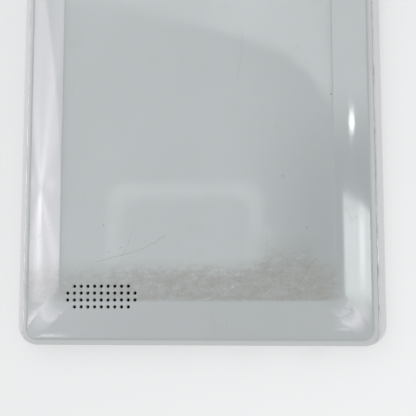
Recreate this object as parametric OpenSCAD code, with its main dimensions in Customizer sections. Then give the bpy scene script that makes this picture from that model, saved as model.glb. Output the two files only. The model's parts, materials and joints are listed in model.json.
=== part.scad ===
// E-reader that lies on its face: the screen side rests on z = 0 and the rear cover faces +Z.
// +Y points to the top end of the device. All sizes are in millimetres.
// Left and right are the reader's, who looks at the screen, so the reader's left is +X.
// The layers are stacked upward from the bezel, and the case is as thick as they need.

/* [Screen] */
// Width of the screen panel's glass
panel_w = 101.8; // [84:0.1:130]
// Length of the screen panel's glass
panel_l = 138.4; // [115:0.1:175]
// Thickness of the glass backplane
glass_t = 0.75; // [0.4:0.05:1.2]
// Thickness of the laminate in front of the glass
laminate_t = 0.45; // [0.2:0.05:0.8]
// Thickness of the foam gasket between bezel and laminate
gasket_t = 0.6; // [0.2:0.05:0.8]
// Margin of the glass hidden behind the bezel, each side
window_margin = 5.1; // [3:0.1:8]
// Margin of the glass hidden behind the bezel at its top end
window_top_margin = 4.5; // [3:0.1:8]
// Margin of the glass hidden behind the bezel at its ribbon end
window_ribbon_margin = 10.5; // [8:0.1:14]

/* [Case] */
// Strip of case beside the panel, each side
side_margin = 10.1; // [9.8:0.1:14]
// Strip of case above the panel
top_margin = 12; // [11:0.5:18]
// Strip of case below the panel, which holds the keys
chin = 39.6; // [39:0.1:50]
// Thickness of the bezel around the window
bezel_t = 1.6; // [1.2:0.1:2]
// Wall of the front housing at its long sides, at the widest level
rim_wall = 4; // [3.8:0.1:4.2]
// Wall of the front housing at its two ends
end_wall = 2; // [1.6:0.1:2.4]
// Corner radius of the front housing, seen from above
case_r = 6.6; // [5:0.1:9]
// Height of the case's widest level
rim_z = 3; // [2:0.1:4]
// Height of the seam between front housing and rear cover
seam_z = 7; // [6.8:0.1:7.3]
// Width of the gap in the seam
seam_gap = 0.18; // [0.1:0.02:0.3]
// How far the rim stands outside the seam, each long side
rim_reveal = 2.85; // [1.5:0.05:2.9]

/* [Rear cover] */
// Wall of the rear cover
cover_wall = 1.5; // [1.2:0.1:1.8]
// How far the edge of the cover leans in from the seam to the crease
skirt_in = 1.85; // [1:0.05:2.2]
// Height of the crown from the crease to the flat middle
crown_h = 2.8; // [2:0.1:3.5]
// Width of the sloping margin along the long sides
side_slope = 11.8; // [8:0.1:16]
// Width of the sloping margin at the two ends
end_slope = 12.6; // [8:0.1:16]
// Part of the crown's fall that is a straight slope, the rest is rounded
crown_straight = 0.5; // [0.2:0.05:0.9]
// Free height between the shield can and the cover
can_gap = 1.7; // [1.5:0.1:3]

/* [Speaker] */
// Holes in the two middle rows of the grille
grille_long = 11; // [11:2:13]
// Holes in the two outer rows of the grille
grille_short = 9; // [7:2:9]
// Distance from hole to hole
grille_pitch = 2.22; // [1.8:0.02:2.8]
// Diameter of a speaker hole
grille_hole_d = 1.05; // [0.8:0.05:1.4]
// Distance from the case's side to the middle of the grille
grille_side = 30.3; // [25:0.1:32]
// Distance from the case's bottom end to the middle of the grille
grille_end = 15.7; // [15:0.1:20]
// Depth of the speaker's frame
speaker_h = 3; // [2.5:0.1:3.2]

/* [Keys] */
// Length of a page key
page_key_l = 34; // [26:0.5:36]
// Width of a page key
page_key_w = 4.4; // [3.5:0.1:4.6]
// Length of the home and back keys
menu_key_l = 14; // [10:0.5:16]
// Width of the home and back keys
menu_key_w = 5.6; // [4:0.1:7]
// Outer radius of the four-way ring
ring_r = 9; // [7.5:0.1:10]
// Radius of the select key
select_r = 3.9; // [3:0.1:4.2]
// Distance from the case's bottom end to the middle of the ring
ring_end = 24.5; // [24:0.1:27]
// Distance of the home and back keys from the ring's middle
menu_key_x = 26; // [24:0.5:28]
// Gap between a key and the edge of its hole
key_gap = 0.15; // [0.1:0.05:0.3]
// How far a key presses in
key_travel = 0.35; // [0.2:0.05:0.45]

/* [Sockets] */
// Radius of the headphone socket's bore
jack_r = 1.8; // [1.3:0.05:1.85]
// Length of the headphone socket's body
jack_l = 12.6; // [11:0.1:14]
// Height of the headphone socket's body
jack_h = 4.6; // [4.5:0.1:5.2]
// Distance of the headphone socket from the case's middle
jack_x = 38; // [36:0.5:40]
// Distance of the USB socket from the case's middle
usb_x = 15; // [14:0.5:18]
// Width of the memory card
card_w = 11; // [10:0.5:12]
// Length of the memory card
card_l = 15; // [13:0.5:16]
// Thickness of the memory card
card_t = 0.8; // [0.7:0.05:0.9]
// Distance of the memory card from the case's middle
card_x = -8; // [-9:0.5:-7]

/* [Inside] */
// Thickness of the chassis plate
chassis_t = 0.9; // [0.6:0.1:1]
// Thickness of the main board
board_t = 1; // [0.8:0.1:1.2]
// Width of the main board's long arm
board_arm_w = 46.6; // [44:0.1:52]
// Height of the shield can
can_h = 2; // [1.6:0.1:2.4]
// Thickness of the battery
battery_t = 3.8; // [3:0.1:4.5]
// Length of the battery
battery_l = 92; // [70:1:100]
// Radius of the screws' shanks
screw_r = 0.85; // [0.7:0.05:0.9]

/* [Hidden] */

// the case's size and the free space inside its walls
body_w = panel_w + 2 * side_margin;
body_l = panel_l + top_margin + chin;
half_w = body_w / 2;
half_l = body_l / 2;
in_x = half_w - rim_wall;
in_y = half_l - end_wall;
corner_steps = 6;

// the stack of layers, from the bezel upward
gasket_z = bezel_t;
laminate_z = gasket_z + gasket_t;
glass_z = laminate_z + laminate_t;
chassis_z = glass_z + glass_t;
chassis_top = chassis_z + chassis_t;
board_z = bezel_t + 0.1 + jack_h;
board_top = board_z + board_t;
can_top = board_top + can_h;
ceiling_z = can_top + can_gap;
body_t = ceiling_z + cover_wall;
crease_z = body_t - crown_h;

// the screen
panel_y = half_l - top_margin - panel_l / 2;
panel_end = panel_y - panel_l / 2;
panel_top = panel_y + panel_l / 2;
window_w = panel_w - 2 * window_margin;
window_l = panel_l - window_top_margin - window_ribbon_margin;
window_y = panel_y + (window_ribbon_margin - window_top_margin) / 2;
ribbon_x = 25;
ribbon_w = 30;

// chassis, with ears beside the panel and tabs below it
chassis_end = panel_end + 1.2;
chassis_upper = panel_top - 0.7;
ear_x = (panel_w / 2 + in_x) / 2 + 0.15;
ear_r = 2.6;
ear_y = [panel_top - 3.2, chassis_end + 16];
tab_x = panel_w / 2 - 7;
tab_y = panel_end - 2.4;

// page keys: two on each side of the window, with a post between them
page_x = (panel_w / 2 + in_x) / 2;
page_mid_y = panel_y - 2.8;
page_step = page_key_l / 2 + 2;
page_y = [page_mid_y + page_step, page_mid_y - page_step];
strip_y = [page_mid_y - 2 * page_step - 1, page_mid_y, page_mid_y + 2 * page_step + 1];
strip_w = 4;
strip_t = 0.8;
hook_z = seam_z - 1.6;
strip_z = hook_z - 0.1 - strip_t;

// keys in the chin
key_z = 0.2;
flange_gap = 0.15;
flange_t = 0.6;
flange_edge = 0.4;
key_flange_z = bezel_t + flange_gap;
dome_gap = 0.05;
dome_z = bezel_t + 1.7;
dome_h = 0.3;
key_board_z = dome_z + dome_h;
key_board_t = 0.8;
key_board_w = 2 * menu_key_x + 18;
key_board_l = 18;
ring_y = -half_l + ring_end;
ring_hole_r = ring_r + 0.25;
ring_flange_z = bezel_t + 0.55;
ring_flange_t = 0.45;
ring_pivot_z = ring_flange_z + ring_flange_t + 0.25;

// speaker behind the grille
grille_x = -half_w + grille_side;
grille_y = -half_l + grille_end;
cloth_z = ceiling_z - 1.6;
speaker_gasket_t = 0.5;
speaker_top = cloth_z - speaker_gasket_t;
speaker_w = (grille_long - 1) * grille_pitch + 2.4;
speaker_l = 3 * grille_pitch + 7.2;
speaker_wall = 1;
speaker_seat_z = max(speaker_top - 1.5, board_z + 1);

// sockets hang below the main board and face the bottom end
board_end = -in_y + 1.5;
board_side = in_x - 2.4;
board_arm_x = board_side - board_arm_w;
board_foot_x = card_x - card_w / 2 - 1.8;
board_upper = panel_top - 21;
board_step_y = panel_end + 5.2;
jack_z = board_z - jack_h / 2;
jack_w = 6.4;
collar_r = 2.5;
usb_w = 7.5;
usb_h = 2.5;
usb_l = 5;
card_socket_h = 1.5;
card_z = board_z - 0.3 - card_t;
reset_x = (usb_x + jack_x) / 2;
reset_z = board_z - 1.5;

// screws, posts and standoffs
post_r = 2;
pilot_r = screw_r + 0.05;
screw_head_r = 1.6;
screw_head_h = 0.7;
post_screw_l = 2.2;
standoffs = [[board_arm_x + 4, board_upper - 6], [panel_w / 2 - 2.4, board_upper - 6],
    [panel_w / 2 - 2.4, chassis_end + 43]];
board_posts = [[(card_x + usb_x) / 2 + 2, board_end + 5.4], [board_side - 5, board_end + 5.4]];
key_posts = [for (x = [-1, 1], y = [-1, 1])
    [x * (key_board_w / 2 - 2), ring_y + y * (key_board_l / 2 - 2)]];

// battery, left of the board's arm as seen from the back
battery_x0 = -panel_w / 2 + 0.9;
battery_x1 = board_arm_x - 3;
battery_x = (battery_x0 + battery_x1) / 2;
battery_w = battery_x1 - battery_x0;
battery_y = panel_y - 4;
tape_t = 0.15;
battery_z = chassis_top + tape_t;
plug_y = battery_y + battery_l / 2 - 8;

// hooks that hold the cover down
hook_t = 1;
hook_l = 8;
hook_gap = 0.1;
side_hooks_y = [for (k = [-2:2]) k * (body_l / 2 - 23) / 2];
end_hooks_x = [for (k = [-1, 1]) k * (half_w - 12)];

// power slider on the top end, volume rocker on the reader's right
edge_key_z = 3.8;
slider_travel = 2.5;
slider_x = half_w - 35;
slider_w = 8;
lead_stub = 0.7;
lead_pitch = 1.2;
slider_h = 2;
rocker_l = 17.6;
rocker_y = panel_top - 17.2;

// status lamp beside the keys
lamp_x = menu_key_x + 20.5;
pipe_r = 0.9;

case_white = [0.9, 0.92, 0.92];
key_white = [0.86, 0.88, 0.88];
board_green = [0.1, 0.35, 0.22];
steel = [0.72, 0.73, 0.75];
chip_black = [0.1, 0.1, 0.11];
foam_grey = [0.25, 0.25, 0.27];

// points of a rectangle with round corners, given by half its width and length
function round_rect(hw, hl, r, steps) = [for (q = [0:3]) for (i = [0:steps])
    let (a = 90 * (q + i / steps), sx = (q == 0 || q == 3) ? 1 : -1, sy = (q < 2) ? 1 : -1)
    [sx * (hw - r) + r * cos(a), sy * (hl - r) + r * sin(a)]];

module plate(w, l, h, r) linear_extrude(h) polygon(round_rect(w / 2, l / 2, r, corner_steps));

// closed solid through rings, each [half width, half length, corner radius, height]
module loft(rings) {
    m = 4 * (corner_steps + 1);
    last = len(rings) - 1;
    points = [for (k = rings) for (p = round_rect(k[0], k[1], k[2], corner_steps)) [p.x, p.y, k[3]]];
    walls = [for (k = [0:last - 1]) for (i = [0:m - 1]) let (j = (i + 1) % m)
        each [[k * m + i, (k + 1) * m + i, (k + 1) * m + j], [k * m + i, (k + 1) * m + j, k * m + j]]];
    low = [for (i = [0:m - 1]) i];
    high = [for (i = [m - 1:-1:0]) last * m + i];
    polyhedron(points, concat([low], walls, [high]));
}

// round tube along a list of points, for the leads
module lead(path, r) {
    sides = 8;
    last = len(path) - 1;
    function dir(k) = let (d = path[min(k + 1, last)] - path[max(k - 1, 0)]) d / norm(d);
    points = [for (k = [0:last]) let (d = dir(k), u = cross(d, [0.13, 0.21, 0.97]), v = u / norm(u),
        w = cross(d, v)) for (i = [0:sides - 1]) path[k] + r * (cos(360 * i / sides) * v
        + sin(360 * i / sides) * w)];
    walls = [for (k = [0:last - 1]) for (i = [0:sides - 1]) let (j = (i + 1) % sides)
        each [[k * sides + i, (k + 1) * sides + i, (k + 1) * sides + j],
            [k * sides + i, (k + 1) * sides + j, k * sides + j]]];
    low = [for (i = [0:sides - 1]) i];
    high = [for (i = [sides - 1:-1:0]) last * sides + i];
    polyhedron(points, concat([low], walls, [high]));
}

// points on a cubic curve between two ends, each with the direction it sets out in
function bend(a, da, b, db, n) = [for (i = [0:n]) let (t = i / n, s = 1 - t)
    s * s * s * a + 3 * s * s * t * (a + da) + 3 * s * t * t * (b + db) + t * t * t * b];

// the same with a short straight start square to each face, so that both ends sit flush
function flush(a, na, da, b, nb, db, n) =
    concat([a], bend(a + lead_stub * na, da, b + lead_stub * nb, db, n), [b]);

module screw(length) {
    translate([0, 0, -length]) cylinder(r = screw_r, h = length + 0.1, $fn = 32);
    difference() {
        cylinder(r = screw_head_r, h = screw_head_h, $fn = 32);
        for (a = [0, 90]) rotate([0, 0, a]) translate([-1, -0.2, 0.35]) cube([2, 0.4, 1]);
    }
}

module post(h, depth) difference() {
    cylinder(r = post_r, h = h, $fn = 32);
    translate([0, 0, h - depth]) cylinder(r = pilot_r, h = depth + 1, $fn = 32);
}

// ---- case ----

// inset of the rim's side above the widest level, for a height share from 0 to 1
function rim_inset(share) = rim_reveal * (1 - pow(1 - pow(share, 1.7), 1 / 1.7));

function housing_rings() = concat(
    [for (u = [0, 0.12, 0.35, 0.65]) let (e = 1.7 * (1 - sqrt(1 - (1 - u) * (1 - u))))
        [half_w - e, half_l - e, case_r - 0.6 * e, rim_z * u]],
    [for (s = [0, 0.25, 0.5, 0.7, 0.86, 0.95, 1]) [half_w - rim_inset(s), half_l,
        case_r - 0.7 * rim_inset(s), rim_z + (seam_z - rim_z) * s]]);

module page_key_holes() for (side = [-1, 1], y = page_y) translate([side * page_x, y, -1])
    plate(page_key_w + 2 * key_gap, page_key_l + 2 * key_gap, bezel_t + 2, 1.6);

module front_housing() color(case_white) difference() {
    union() {
        difference() {
            loft(housing_rings());
            translate([0, 0, bezel_t]) plate(2 * in_x, 2 * in_y, seam_z, 3.4);
        }
        for (side = [-1, 1]) {
            for (y = ear_y) translate([side * ear_x, y, bezel_t - 0.3])
                post(chassis_z - bezel_t + 0.3, 1.5);
            for (y = strip_y) translate([side * page_x, y, bezel_t - 0.3])
                cylinder(r = 1.2, h = strip_z - bezel_t + 0.3, $fn = 32);
            translate([side * tab_x, tab_y, bezel_t - 0.3]) post(chassis_z - bezel_t + 0.3, 1.5);
        }
        for (p = board_posts) translate([p.x, p.y, bezel_t - 0.3]) post(board_z - bezel_t + 0.3, 3);
        for (p = key_posts) translate([p.x, p.y, bezel_t - 0.3]) post(key_board_z - bezel_t + 0.3, 1.9);
    }
    translate([0, window_y, -1]) plate(window_w, window_l, bezel_t + 2, 0.8);
    translate([0, window_y, 0]) loft([[window_w / 2 + 1.4, window_l / 2 + 1.4, 1.9, -0.1],
        [window_w / 2, window_l / 2, 0.8, bezel_t - 0.3]]);
    page_key_holes();
    for (side = [-1, 1]) translate([side * menu_key_x, ring_y, -1])
        plate(menu_key_l + 2 * key_gap, menu_key_w + 2 * key_gap, bezel_t + 2, menu_key_w / 2);
    translate([0, ring_y, -1]) cylinder(r = ring_hole_r, h = bezel_t + 2, $fn = 64);
    translate([lamp_x, ring_y, -1]) cylinder(r = pipe_r + 0.1, h = bezel_t + 2, $fn = 32);
    end_openings();
    edge_key_openings();
    hook_windows();
}

module end_openings() {
    translate([jack_x, -in_y + 1, jack_z]) rotate([90, 0, 0])
        cylinder(r = collar_r + 0.15, h = end_wall + 3, $fn = 48);
    translate([usb_x - usb_w / 2 - 0.3, -half_l - 1, board_z - usb_h - 0.3])
        cube([usb_w + 0.6, end_wall + 2, usb_h + 0.5]);
    translate([card_x - card_w / 2 - 0.5, -half_l - 1, card_z - 0.4])
        cube([card_w + 1, end_wall + 2, card_t + 0.8]);
    translate([reset_x, -in_y + 1, reset_z]) rotate([90, 0, 0])
        cylinder(r = 0.6, h = end_wall + 3, $fn = 32);
}

module edge_key_openings() {
    translate([slider_x - slider_w / 2 - 0.3, in_y - 1, edge_key_z - slider_h / 2 - 0.3])
        cube([slider_w + slider_travel + 0.6, end_wall + 2, slider_h + 0.6]);
    translate([-half_w - 1, rocker_y - rocker_l / 2 - 0.4, edge_key_z - slider_h / 2 - 0.3])
        cube([rim_wall + 2, rocker_l + 0.8, slider_h + 0.6]);
}

module hook_windows() {
    for (side = [-1, 1], y = side_hooks_y)
        translate([side * (in_x + 0.2) - 0.7, y - hook_l / 2 - 0.3, hook_z - 0.2])
            cube([1.4, hook_l + 0.6, 1.2]);
    for (side = [-1, 1], x = end_hooks_x)
        translate([x - hook_l / 2 - 0.3, side * (in_y + 0.2) - 0.7, hook_z - 0.2])
            cube([hook_l + 0.6, 1.4, 1.2]);
}

// fall of the crown below the flat middle, for a share from 0 at its edge to 1 at the crease
function crown_fall(share) = crown_h * (crown_straight * share + (1 - crown_straight) * share * share);

seam_x = half_w - rim_reveal - 0.1;
seam_y = half_l - 0.1;
function crown_rings(drop, inset) = [for (s = [1, 0.8, 0.6, 0.4, 0.2, 0])
    [seam_x - skirt_in - side_slope * (1 - s) - inset, seam_y - skirt_in - end_slope * (1 - s) - inset,
        3.6 + 2 * (1 - s), body_t - crown_fall(s) - drop]];

function cover_rings() = concat(
    [for (u = [0, 0.4, 0.8]) [seam_x - skirt_in * u * u, seam_y - skirt_in * u * u,
        case_r - 2.2 - 0.6 * u, seam_z + seam_gap + (crease_z - seam_z - seam_gap) * u]],
    crown_rings(0, 0));

function cover_inside_rings() = concat(
    [[seam_x - 1.3, seam_y - 1.4, 3.4, seam_z - 0.5],
        [seam_x - 1.3, seam_y - 1.4, 3.4, seam_z + 0.3]],
    crown_rings(cover_wall, 0.9));

module hook(length) rotate([90, 0, 90]) translate([0, 0, -length / 2]) linear_extrude(length)
    polygon([[0, 0], [0.45, 0.35], [0.45, 0.75], [0, 0.95], [0, 3], [-hook_t, 3], [-hook_t, 0]]);

module cover_hooks() {
    for (side = [-1, 1], y = side_hooks_y) translate([side * (in_x - hook_gap), y, hook_z])
        rotate([0, 0, -90 * side]) hook(hook_l);
    for (side = [-1, 1], x = end_hooks_x) translate([x, side * (in_y - hook_gap), hook_z])
        rotate([0, 0, side == 1 ? 0 : 180]) hook(hook_l);
}

module grille_holes() for (row = [0:3]) let (n = (row == 1 || row == 2) ? grille_long : grille_short)
    for (k = [0:n - 1]) translate([grille_x + (k - (n - 1) / 2) * grille_pitch,
        grille_y + (1.5 - row) * grille_pitch, cloth_z + 0.2])
        cylinder(r = grille_hole_d / 2, h = cover_wall + 3, $fn = 24);

module rear_cover() color(case_white) difference() {
    union() {
        difference() {
            loft(cover_rings());
            loft(cover_inside_rings());
        }
        cover_hooks();
        intersection() {
            translate([grille_x, grille_y, speaker_seat_z]) difference() {
                plate(speaker_w + 2 * speaker_wall + 0.4, speaker_l + 2 * speaker_wall + 0.4,
                    speaker_h + 2, 1.2);
                translate([0, 0, -1]) plate(speaker_w + 0.4, speaker_l + 0.4, speaker_h + 4, 0.4);
            }
            loft(crown_rings(cover_wall - 0.4, 0.5));
        }
    }
    grille_holes();
}

// ---- screen ----

module display_gasket() color(foam_grey) translate([0, window_y, gasket_z]) difference() {
    plate(window_w + 5, window_l + 5, gasket_t, 1);
    translate([0, 0, -1]) plate(window_w + 1.6, window_l + 1.6, gasket_t + 2, 0.5);
}

module display_laminate() color([0.78, 0.8, 0.78]) translate([0, panel_y + 1.5, laminate_z])
    plate(panel_w - 1.6, panel_l - 4.6, laminate_t, 0.4);

module display_glass() color([0.3, 0.34, 0.33]) translate([0, panel_y, glass_z])
    plate(panel_w, panel_l, glass_t, 0.3);

// strip that leaves the glass, turns round the chassis's edge and goes back under the board
module display_ribbon() color([0.72, 0.45, 0.12]) {
    strip_low = glass_z + 0.4;
    strip_high = board_z - 0.8;
    turn_r = (strip_high - strip_low) / 2;
    turn_y = panel_end - 1.8;
    arc = [for (i = [0:10]) let (a = 270 - 18 * i) [cos(a), sin(a)]];
    outside = [for (p = arc) [turn_y + (turn_r + 0.075) * p.x, strip_low + turn_r + (turn_r + 0.075) * p.y]];
    inside = [for (k = [10:-1:0]) [turn_y + (turn_r - 0.075) * arc[k].x,
        strip_low + turn_r + (turn_r - 0.075) * arc[k].y]];
    translate([ribbon_x - ribbon_w / 2, 0, 0]) rotate([90, 0, 90]) linear_extrude(ribbon_w)
        polygon(concat([[panel_end, strip_low - 0.075]], outside,
            [[panel_end + 4.4, strip_high + 0.075], [panel_end + 4.4, strip_high - 0.075]], inside,
            [[panel_end, strip_low + 0.075]]));
}

module display_connector() color([0.85, 0.82, 0.72])
    translate([ribbon_x - ribbon_w / 2 - 1, panel_end + 4.4, board_z - 1.2]) difference() {
        cube([ribbon_w + 2, 4, 1.2]);
        translate([0.8, -1, -0.5]) cube([ribbon_w + 0.4, 1.8, 0.7]);
    }

// ---- chassis ----

module chassis() color(steel) difference() {
    union() {
        translate([-panel_w / 2 - 0.2, chassis_end, chassis_z])
            cube([panel_w + 0.4, chassis_upper - chassis_end, chassis_t]);
        for (side = [-1, 1]) {
            for (y = ear_y) {
                translate([side * ear_x, y, chassis_z]) cylinder(r = ear_r, h = chassis_t, $fn = 48);
                translate([side * (ear_x - 2) - 2, y - ear_r, chassis_z])
                    cube([4, 2 * ear_r, chassis_t]);
            }
            translate([side * tab_x, tab_y, chassis_z]) cylinder(r = ear_r, h = chassis_t, $fn = 48);
            translate([side * tab_x - ear_r, tab_y, chassis_z])
                cube([2 * ear_r, chassis_end - tab_y + 1, chassis_t]);
        }
        for (p = standoffs) translate([p.x, p.y, chassis_top - 0.3])
            cylinder(r = post_r, h = board_z - chassis_top + 0.3, $fn = 32);
    }
    for (side = [-1, 1]) {
        for (y = ear_y) translate([side * ear_x, y, 0]) cylinder(r = screw_r + 0.2, h = 20, $fn = 32);
        translate([side * tab_x, tab_y, 0]) cylinder(r = screw_r + 0.2, h = 20, $fn = 32);
    }
    for (p = standoffs) translate([p.x, p.y, chassis_top - 0.2]) cylinder(r = pilot_r, h = 20, $fn = 32);
    for (y = [panel_y - 35, panel_y + 28]) translate([battery_x, y, chassis_z - 1])
        plate(battery_w - 16, 20, chassis_t + 2, 3);
}

module chassis_screws() color(steel) for (side = [-1, 1]) {
    for (y = ear_y) translate([side * ear_x, y, chassis_top]) screw(post_screw_l);
    translate([side * tab_x, tab_y, chassis_top]) screw(post_screw_l);
}

// ---- main board ----

module main_board() color(board_green) difference() {
    translate([0, 0, board_z]) linear_extrude(board_t) polygon([[board_foot_x, board_end],
        [board_side, board_end], [board_side, board_upper], [board_arm_x, board_upper],
        [board_arm_x, board_step_y], [board_foot_x, board_step_y]]);
    for (p = concat(standoffs, board_posts)) translate([p.x, p.y, 0])
        cylinder(r = screw_r + 0.2, h = 20, $fn = 32);
}

module board_screws() color(steel) for (p = concat(standoffs, board_posts))
    translate([p.x, p.y, board_top]) screw(board_t + 1.6);

chip_x = board_arm_x + board_arm_w / 2;
chip_y = panel_y + 4;

module chip(x, y, w, l, h) translate([x, y, board_top]) plate(w, l, h, 0.3);

module processor() color(chip_black) chip(chip_x, chip_y + 14, 14, 14, 1.1);

module memory_chips() color(chip_black) for (k = [0, 1]) chip(chip_x, chip_y - 2 - 14 * k, 14, 10, 1);

module power_chip() color(chip_black) chip(board_side - 26, panel_end - 5, 7, 7, 0.9);

module shield_can() color(steel) translate([chip_x, chip_y, board_top]) difference() {
    plate(30, 52, can_h, 1);
    translate([0, 0, -1]) plate(29.4, 51.4, can_h + 0.7, 0.7);
}

// coils, capacitors and crystals that stand on the board
module board_parts() color([0.45, 0.38, 0.3]) {
    for (k = [0:5]) translate([board_side - 8, panel_end - 2 - 4.5 * k, board_top])
        cube([3.2, 1.6, 1.2]);
    for (k = [0:4]) translate([board_foot_x + 3 + 4 * k, panel_end - 4, board_top])
        cube([1.6, 3.2, 0.9]);
    for (k = [0:2]) translate([board_side - 40 + 7 * k, panel_end - 14, board_top])
        cylinder(r = 2.4, h = 2, $fn = 24);
    translate([board_arm_x + 6, chip_y - 34, board_top]) plate(3.2, 8, 1.6, 0.5);
}

// ---- battery ----

module battery_tape() color([0.15, 0.15, 0.16]) translate([battery_x, battery_y, chassis_top])
    plate(battery_w - 4, battery_l - 6, tape_t, 0.5);

module battery_cell() color([0.62, 0.64, 0.66]) translate([battery_x, battery_y, battery_z])
    plate(battery_w, battery_l, battery_t, 1.2);

battery_board_y = battery_y + battery_l / 2 + 0.2;

module battery_board() color(board_green)
    translate([battery_x - 16, battery_board_y, battery_z + 1]) cube([32, 3.6, 0.9]);

// three leads side by side, the outer one on the widest turn
module battery_leads() for (k = [-1:1]) color(k == -1 ? "black" : k == 0 ? "white" : "red")
    lead(flush([battery_x + 10 + k * lead_pitch, battery_board_y + 3.6, battery_z + 1.45], [0, 1, 0],
        [0, 9 - 3 * k, 2.2], [board_arm_x + 1.4, plug_y - k * lead_pitch, board_top + 1.2], [-1, 0, 0],
        [-7, 3 - 2 * k, 2.2], 14), 0.4);

module battery_plug() color([0.92, 0.92, 0.88]) translate([board_arm_x + 1.4, plug_y - 3, board_top])
    cube([4.2, 6, 2]);

// ---- speaker ----

module speaker_frame() color([0.2, 0.2, 0.21])
    translate([grille_x, grille_y, speaker_top - speaker_h]) difference() {
        plate(speaker_w, speaker_l, speaker_h, 0.6);
        translate([0, 0, 1]) plate(speaker_w - 2, speaker_l - 2, speaker_h, 0.6);
        translate([0, 0, -1]) cylinder(r = 4.2, h = speaker_h, $fn = 48);
    }

module speaker_magnet() color(steel) translate([grille_x, grille_y, speaker_top - speaker_h])
    difference() {
        cylinder(r = 4.2, h = 1.4, $fn = 48);
        translate([0, 0, 0.4]) difference() {
            cylinder(r = 3.4, h = 2, $fn = 48);
            cylinder(r = 2.4, h = 1, $fn = 48);
        }
    }

// flat diaphragm with a raised middle, free inside the frame
module speaker_cone() color(foam_grey) translate([grille_x, grille_y, speaker_top - 0.9]) {
    plate(speaker_w - 2.6, speaker_l - 2.6, 0.25, 0.6);
    cylinder(r = 3.6, h = 0.45, $fn = 48);
}

module speaker_gasket() color([0.12, 0.12, 0.13]) translate([grille_x, grille_y, speaker_top])
    difference() {
        plate(speaker_w, speaker_l, speaker_gasket_t, 0.5);
        translate([0, 0, -1]) plate(speaker_w - 2.4, speaker_l - 2.4, 3, 0.5);
    }

module speaker_cloth() color([0.05, 0.05, 0.05]) translate([grille_x, grille_y, cloth_z])
    plate(speaker_w, speaker_l, 0.15, 0.5);

// two leads from the frame's side to the board's edge, as long as the gap between them
module speaker_leads() {
    from_x = grille_x + speaker_w / 2;
    reach = (board_foot_x - from_x) / 3;
    lead_z = board_z + board_t / 2;
    for (k = [0, 1]) color(k == 0 ? "black" : "red")
        lead(flush([from_x, grille_y + 3 - 1.6 * k, lead_z], [1, 0, 0], [reach, 0, 0],
            [board_foot_x, grille_y + 4 - 1.6 * k, lead_z], [-1, 0, 0], [-reach, 0, 0], 10), 0.3);
}

// ---- sockets ----

module usb_socket() color(steel) translate([usb_x, -in_y - 0.4, board_z - usb_h]) {
    difference() {
        translate([-usb_w / 2, 0, 0]) cube([usb_w, usb_l, usb_h]);
        translate([-usb_w / 2 + 0.3, -1, 0.3]) cube([usb_w - 0.6, usb_l + 0.4, usb_h - 0.6]);
    }
    translate([-2, 0.4, usb_h / 2 - 0.3]) cube([4, usb_l - 0.6, 0.6]);
}

module headphone_socket() color(chip_black) translate([jack_x, 0, jack_z]) difference() {
    union() {
        translate([-jack_w / 2, -in_y + 0.1, -jack_h / 2]) cube([jack_w, jack_l, jack_h]);
        translate([0, -in_y + 0.2, 0]) rotate([90, 0, 0])
            cylinder(r = collar_r, h = end_wall - 0.2, $fn = 48);
    }
    translate([0, -in_y + jack_l - 1, 0]) rotate([90, 0, 0])
        cylinder(r = jack_r, h = jack_l + end_wall + 2, $fn = 48);
}

module card_socket() color(steel)
    translate([card_x, -in_y + 0.4, board_z - card_socket_h]) difference() {
        translate([-card_w / 2 - 1.5, 0, 0]) cube([card_w + 3, card_l + 0.6, card_socket_h]);
        translate([-card_w / 2 - 0.15, -1, 0.2]) cube([card_w + 0.3, card_l + 1, card_socket_h - 0.4]);
    }

module memory_card() color(chip_black) translate([card_x, -in_y - 0.6, card_z])
    linear_extrude(card_t) polygon([[-card_w / 2, 0], [card_w / 2, 0], [card_w / 2, card_l],
        [-card_w / 2 + 3, card_l], [-card_w / 2 + 1.4, card_l - 2], [-card_w / 2, card_l - 2]]);

module reset_switch() color([0.2, 0.2, 0.2]) translate([reset_x - 2, -in_y + 2.1, reset_z - 1.5])
    difference() {
        cube([4, 3.4, 3]);
        translate([2, 1.2, 1.5]) rotate([90, 0, 0]) cylinder(r = 0.8, h = 2, $fn = 32);
    }

module reset_plunger() color("white") translate([reset_x, -in_y + 2.9, reset_z])
    rotate([90, 0, 0]) cylinder(r = 0.72, h = 2.2, $fn = 32);

// ---- page keys ----

// key cap in its hole, a flange that keeps it in the case, and a nub that meets the switch
module key(w, l, r, nub_top) {
    translate([0, 0, key_z]) plate(w, l, key_flange_z - key_z + 0.1, r);
    translate([0, 0, key_flange_z]) plate(w + 2 * flange_edge, l + 2 * flange_edge, flange_t, r);
    translate([0, 0, key_flange_z]) cylinder(r = 1, h = nub_top - key_flange_z, $fn = 24);
}

switch_l = 3.4;
plunger_z = strip_z - 1.35;
page_nub_top = plunger_z - key_travel - dome_gap;

module page_key(side, y) color(key_white) translate([side * page_x, y, 0])
    key(page_key_w, page_key_l, 1.6, page_nub_top);

module left_next_key() page_key(1, page_y[0]);
module left_previous_key() page_key(1, page_y[1]);
module right_next_key() page_key(-1, page_y[0]);
module right_previous_key() page_key(-1, page_y[1]);

module switch_strip(side) color(board_green)
    translate([side * page_x, page_mid_y, strip_z])
        plate(strip_w, strip_y[2] - strip_y[0] + 3, strip_t, 0.8);

module left_switch_strip() switch_strip(1);
module right_switch_strip() switch_strip(-1);

module page_switches() color([0.75, 0.75, 0.72])
    for (side = [-1, 1], y = page_y) translate([side * page_x, y, 0]) {
        translate([-switch_l / 2, -switch_l / 2, strip_z - 1]) cube([switch_l, switch_l, 1]);
        translate([0, 0, plunger_z]) cylinder(r = 0.9, h = 0.5, $fn = 24);
    }

// ---- keys in the chin ----

chin_nub_top = dome_z - key_travel - dome_gap;

module menu_key(x) color(key_white) translate([x, ring_y, 0])
    key(menu_key_l, menu_key_w, menu_key_w / 2 - 0.1, chin_nub_top);

module home_key() menu_key(menu_key_x);
module back_key() menu_key(-menu_key_x);

inner_hole_r = select_r + 0.25;

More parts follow.
